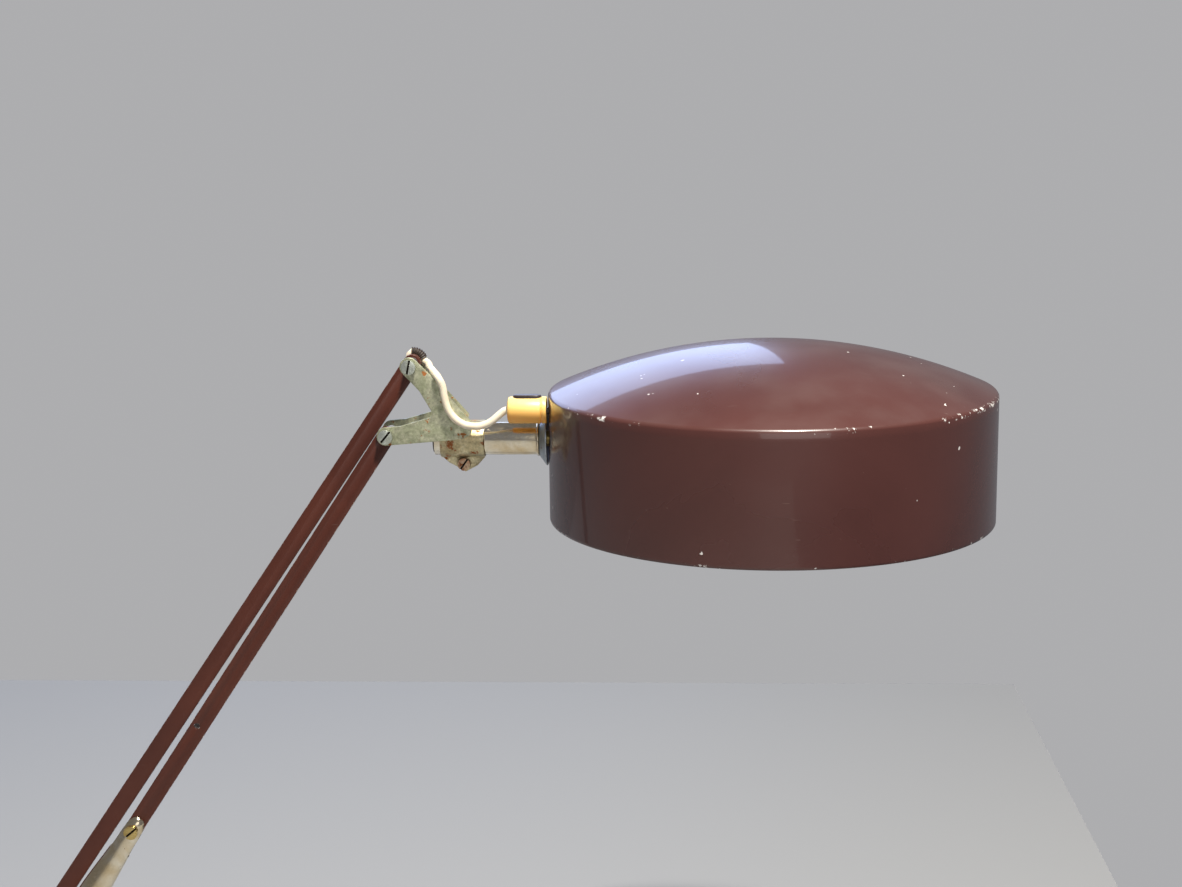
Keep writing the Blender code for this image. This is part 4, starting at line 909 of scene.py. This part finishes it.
def makeScrewTree():
    labels = ("Head Radius", "Head Height", "Dome", "Slot Width", "Slot Depth", "Shank Radius")
    sockets = [(label, "NodeSocketFloat") for label in labels]
    tree, given, made = startTree("slottedScrews", sockets + [("Material", "NodeSocketMaterial")])
    head = addNode(tree, "GeometryNodeMeshCylinder", {"Vertices": 48, "Side Segments": 1, "Fill Segments": 5,
            "Radius": given["Head Radius"], "Depth": given["Head Height"]}, fill_type="NGON")
    at = addNode(tree, "ShaderNodeSeparateXYZ", {0: addNode(tree, "GeometryNodeInputPosition").outputs[0]})
    square = calc(tree, "ADD", calc(tree, "MULTIPLY", at.outputs["X"], at.outputs["X"]),
                  calc(tree, "MULTIPLY", at.outputs["Y"], at.outputs["Y"]))
    share = calc(tree, "SQRT", square)
    share = calc(tree, "DIVIDE", share, given["Head Radius"])
    rise = calc(tree, "SUBTRACT", 1.0, calc(tree, "MULTIPLY", share, share))
    isTop = calc(tree, "GREATER_THAN", at.outputs["Z"], 0.0)
    rise = calc(tree, "MULTIPLY", calc(tree, "MULTIPLY", rise, given["Dome"]), isTop)
    domed = addNode(tree, "GeometryNodeSetPosition", {"Geometry": head.outputs["Mesh"],
            "Offset": vector(tree, Z=rise)})
    long = calc(tree, "MULTIPLY", given["Head Radius"], 3.0)
    deep = calc(tree, "MULTIPLY", given["Slot Depth"], 2.0)
    slotSize = vector(tree, X=long, Y=given["Slot Width"], Z=deep)
    slotBox = addNode(tree, "GeometryNodeMeshCube", {"Size": slotSize})
    lift = vector(tree, Z=calc(tree, "MULTIPLY", given["Head Height"], 0.5))
    slotUp = addNode(tree, "GeometryNodeTransform", {"Geometry": slotBox.outputs["Mesh"], "Translation": lift})
    cutHead = addNode(tree, "GeometryNodeMeshBoolean", operation="DIFFERENCE", solver="EXACT")
    tree.links.new(domed.outputs[0], cutHead.inputs[0])
    tree.links.new(slotUp.outputs[0], cutHead.inputs[1])
    turned, sized, reach = (
        addNode(tree, "GeometryNodeInputNamedAttribute", {"Name": label}, data_type="FLOAT").outputs[0]
        for label in ("slotAngle", "headScale", "reach"))
    # the head's top faces -Y; the slot turns about Y
    tilted = vector(tree, X=math.pi / 2, Y=turned)
    heads = addNode(tree, "GeometryNodeInstanceOnPoints", {"Points": given["Geometry"],
                    "Instance": cutHead.outputs[0], "Rotation": tilted, "Scale": sized})
    rod = addNode(tree, "GeometryNodeMeshCylinder", {"Vertices": 32, "Radius": given["Shank Radius"],
            "Depth": 1.0})
    back = addNode(tree, "GeometryNodeTransform", {"Geometry": rod.outputs["Mesh"],
            "Translation": (0, 0, -0.5)})
    stretch = vector(tree, X=1.0, Y=1.0, Z=reach)
    rods = addNode(tree, "GeometryNodeInstanceOnPoints", {"Points": given["Geometry"],
                   "Instance": back.outputs[0], "Rotation": tilted, "Scale": stretch})
    joined = addNode(tree, "GeometryNodeJoinGeometry")
    tree.links.new(heads.outputs[0], joined.inputs[0])
    tree.links.new(rods.outputs[0], joined.inputs[0])
    return endTree(tree, given, made, joined.outputs[0])


screwTree = makeScrewTree()


def makeScrews(name, screws, slotName, body, finish=None):
    # screws: node, slot angle, size of the head against the largest
    spots, angles, scales, reaches = [], [], [], []
    for node, angle, scale in screws:
        low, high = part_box(node)
        center = middle(node)
        spots.append((center.x, low[1] + scale * screwSizes["height"] / 2 + 0.1 * mm, center.z))
        angles.append(math.radians(-angle))
        scales.append(scale)
        reaches.append(high[1] - spots[-1][1])
    mesh = bpy.data.meshes.new(name)
    mesh.from_pydata(spots, [], [])
    for label, values in (("slotAngle", angles), ("headScale", scales), ("reach", reaches)):
        mesh.attributes.new(label, "FLOAT", "POINT").data.foreach_set("value", values)
    piece = newObject(name, mesh)
    runTree(piece, screwTree, {
        "Head Radius": screwSizes["head"], "Head Height": screwSizes["height"], "Dome": screwSizes["dome"],
        "Slot Width": screwSizes["slotWidth"], "Slot Depth": screwSizes["slotDepth"],
        "Shank Radius": screwSizes["shank"], "Material": materials[slotName]})
    easeEdges(piece, 0.16 * mm, 2, 30)
    # painted shade: the faces inside the slots get a near-black colour that stands in for the shade there
    slotShade = piece.data.attributes.new("slotShade", "FLOAT", "FACE")
    for face in piece.data.polygons:
        for (x, y, z), scale in zip(spots, scales):
            top = y - scale * screwSizes["height"] / 2
            out = math.hypot(face.center.x - x, face.center.z - z)
            inSlot = out < scale * screwSizes["head"] - 0.3 * mm and top + 0.5 * mm < face.center.y < y + mm
            if inSlot and abs(face.center.y - top) < 2 * screwSizes["height"]:
                slotShade.data[face.index].value = 1.0
    place(piece, body, slotName, *[node for node, angle, scale in screws], finish=finish)


makeScrews("forkScrews", [("fork_screw_upper", 78, 1.0), ("fork_screw_lower", 50, 1.0)], "zinc", "fork",
           "zincScrew")
makeScrews("clampScrew", [("clamp_screw", 55, 0.864)], "zinc", "fork", "rustyScrew")
makeScrews("noseScrew", [("nose_screw", 40, 1.0)], "brass", "arm")
makeScrews("lowerPivotScrew", [("lower_pivot_screw", 20, 1.0)], "zinc", "turntable")
print("screws made")

# ---- ribbed boot that leads the flex over the upper screw
boot = {"start": 95.0, "end": 22.0, "radius": 2.92 * mm, "rib": 0.22 * mm, "ribs": 7, "steps": 84}


def makeBootTree():
    sockets = [("Radius", "NodeSocketFloat"), ("Rib", "NodeSocketFloat"), ("Ribs", "NodeSocketFloat"),
               ("Material", "NodeSocketMaterial")]
    tree, given, made = startTree("ribbedSleeve", sockets)
    line = addNode(tree, "GeometryNodeMeshToCurve", {"Mesh": given["Geometry"]})
    along = addNode(tree, "GeometryNodeSplineParameter").outputs["Factor"]
    phase = calc(tree, "MULTIPLY", calc(tree, "MULTIPLY", along, given["Ribs"]), 2 * math.pi)
    wave = calc(tree, "MULTIPLY", calc(tree, "COSINE", phase), given["Rib"])
    thick = calc(tree, "ADD", given["Radius"], wave)
    ring = addNode(tree, "GeometryNodeCurvePrimitiveCircle", {"Resolution": 32, "Radius": 1.0})
    skin = addNode(tree, "GeometryNodeCurveToMesh", {"Curve": line.outputs[0], "Scale": thick,
                   "Profile Curve": ring.outputs["Curve"], "Fill Caps": True})
    return endTree(tree, given, made, skin.outputs[0])


def makeBoot():
    points, steps = [], boot["steps"]
    for k in range(steps + 1):
        a = math.radians(boot["start"] + (boot["end"] - boot["start"]) * k / steps)
        points.append((forkHigh.x + flexSizes["bootReach"] * math.cos(a), flexSizes["bootY"],
                       forkHigh.z + flexSizes["bootReach"] * math.sin(a)))
    mesh = bpy.data.meshes.new("flexBoot")
    mesh.from_pydata(points, [(k, k + 1) for k in range(steps)], [])
    piece = newObject("flexBoot", mesh)
    runTree(piece, makeBootTree(), {"Radius": boot["radius"], "Rib": boot["rib"],
            "Ribs": float(boot["ribs"]), "Material": materials["dark_rubber"]})
    weld(piece.data)
    smooth(piece, 60)
    place(piece, "fork", "dark_rubber", "flex_boot")


makeBoot()
print("boot made")

# ---- nodes that stay as they are get their finish
for node, shown in nodes.items():
    if not shown.hide_render:
        shown.data.materials.clear()
        shown.data.materials.append(materials[slotOf[node]])

# ---- floor, light and background
stageSizes = {"top": -0.0002, "left": -2.6, "right": 0.79, "front": -2.2, "back": 0.9, "thick": 0.04}


def makeTable():
    bm = bmesh.new()
    bmesh.ops.create_cube(bm, size=1.0)
    s = stageSizes
    for v in bm.verts:
        v.co.x = s["right"] if v.co.x > 0 else s["left"]
        v.co.y = s["back"] if v.co.y > 0 else s["front"]
        v.co.z = s["top"] if v.co.z > 0 else -s["thick"]
    mesh = bpy.data.meshes.new("table")
    bm.to_mesh(mesh)
    bm.free()
    table = newObject("table", mesh)
    mesh.materials.append(startMaterial("tableTop", Roughness=0.6, Base_Color=(0.33, 0.335, 0.335, 1))[0])


def makeLight(name, at, toward, size, power, color):
    data = bpy.data.lights.new(name, "AREA")
    data.shape = "RECTANGLE"
    data.size, data.size_y = size
    data.energy = power
    data.color = color
    lamp = bpy.data.objects.new(name, data)
    lamp.location = at
    lamp.rotation_euler = (Vector(toward) - Vector(at)).to_track_quat("-Z", "Y").to_euler()
    scene.collection.objects.link(lamp)
    lamp.visible_camera = False


makeTable()
lampHead = (0.40, 0, 0.45)
makeLight("keyLight", (0.75, -0.75, 2.5), lampHead, (0.2, 0.2), 105, (1.0, 0.95, 0.87))
makeLight("skyPanel", (-0.6, 2.4, 1.4), (0.40, 0, 0.46), (2.6, 1.1), 24, (0.50, 0.64, 1.0))
makeLight("fillPanel", (0.9, -2.6, 0.9), lampHead, (1.6, 1.2), 9, (1.0, 0.97, 0.93))
world = bpy.data.worlds.new("studio")
world.use_nodes = True
sky = world.node_tree
rays = addNode(sky, "ShaderNodeLightPath")
backdrop = mixColor(sky, rays.outputs["Is Camera Ray"], (0.20, 0.20, 0.215), (0.42, 0.42, 0.43))
sky.links.new(backdrop, sky.nodes["Background"].inputs["Color"])
scene.world = world
scene.view_settings.view_transform = "Standard"
print("stage set")
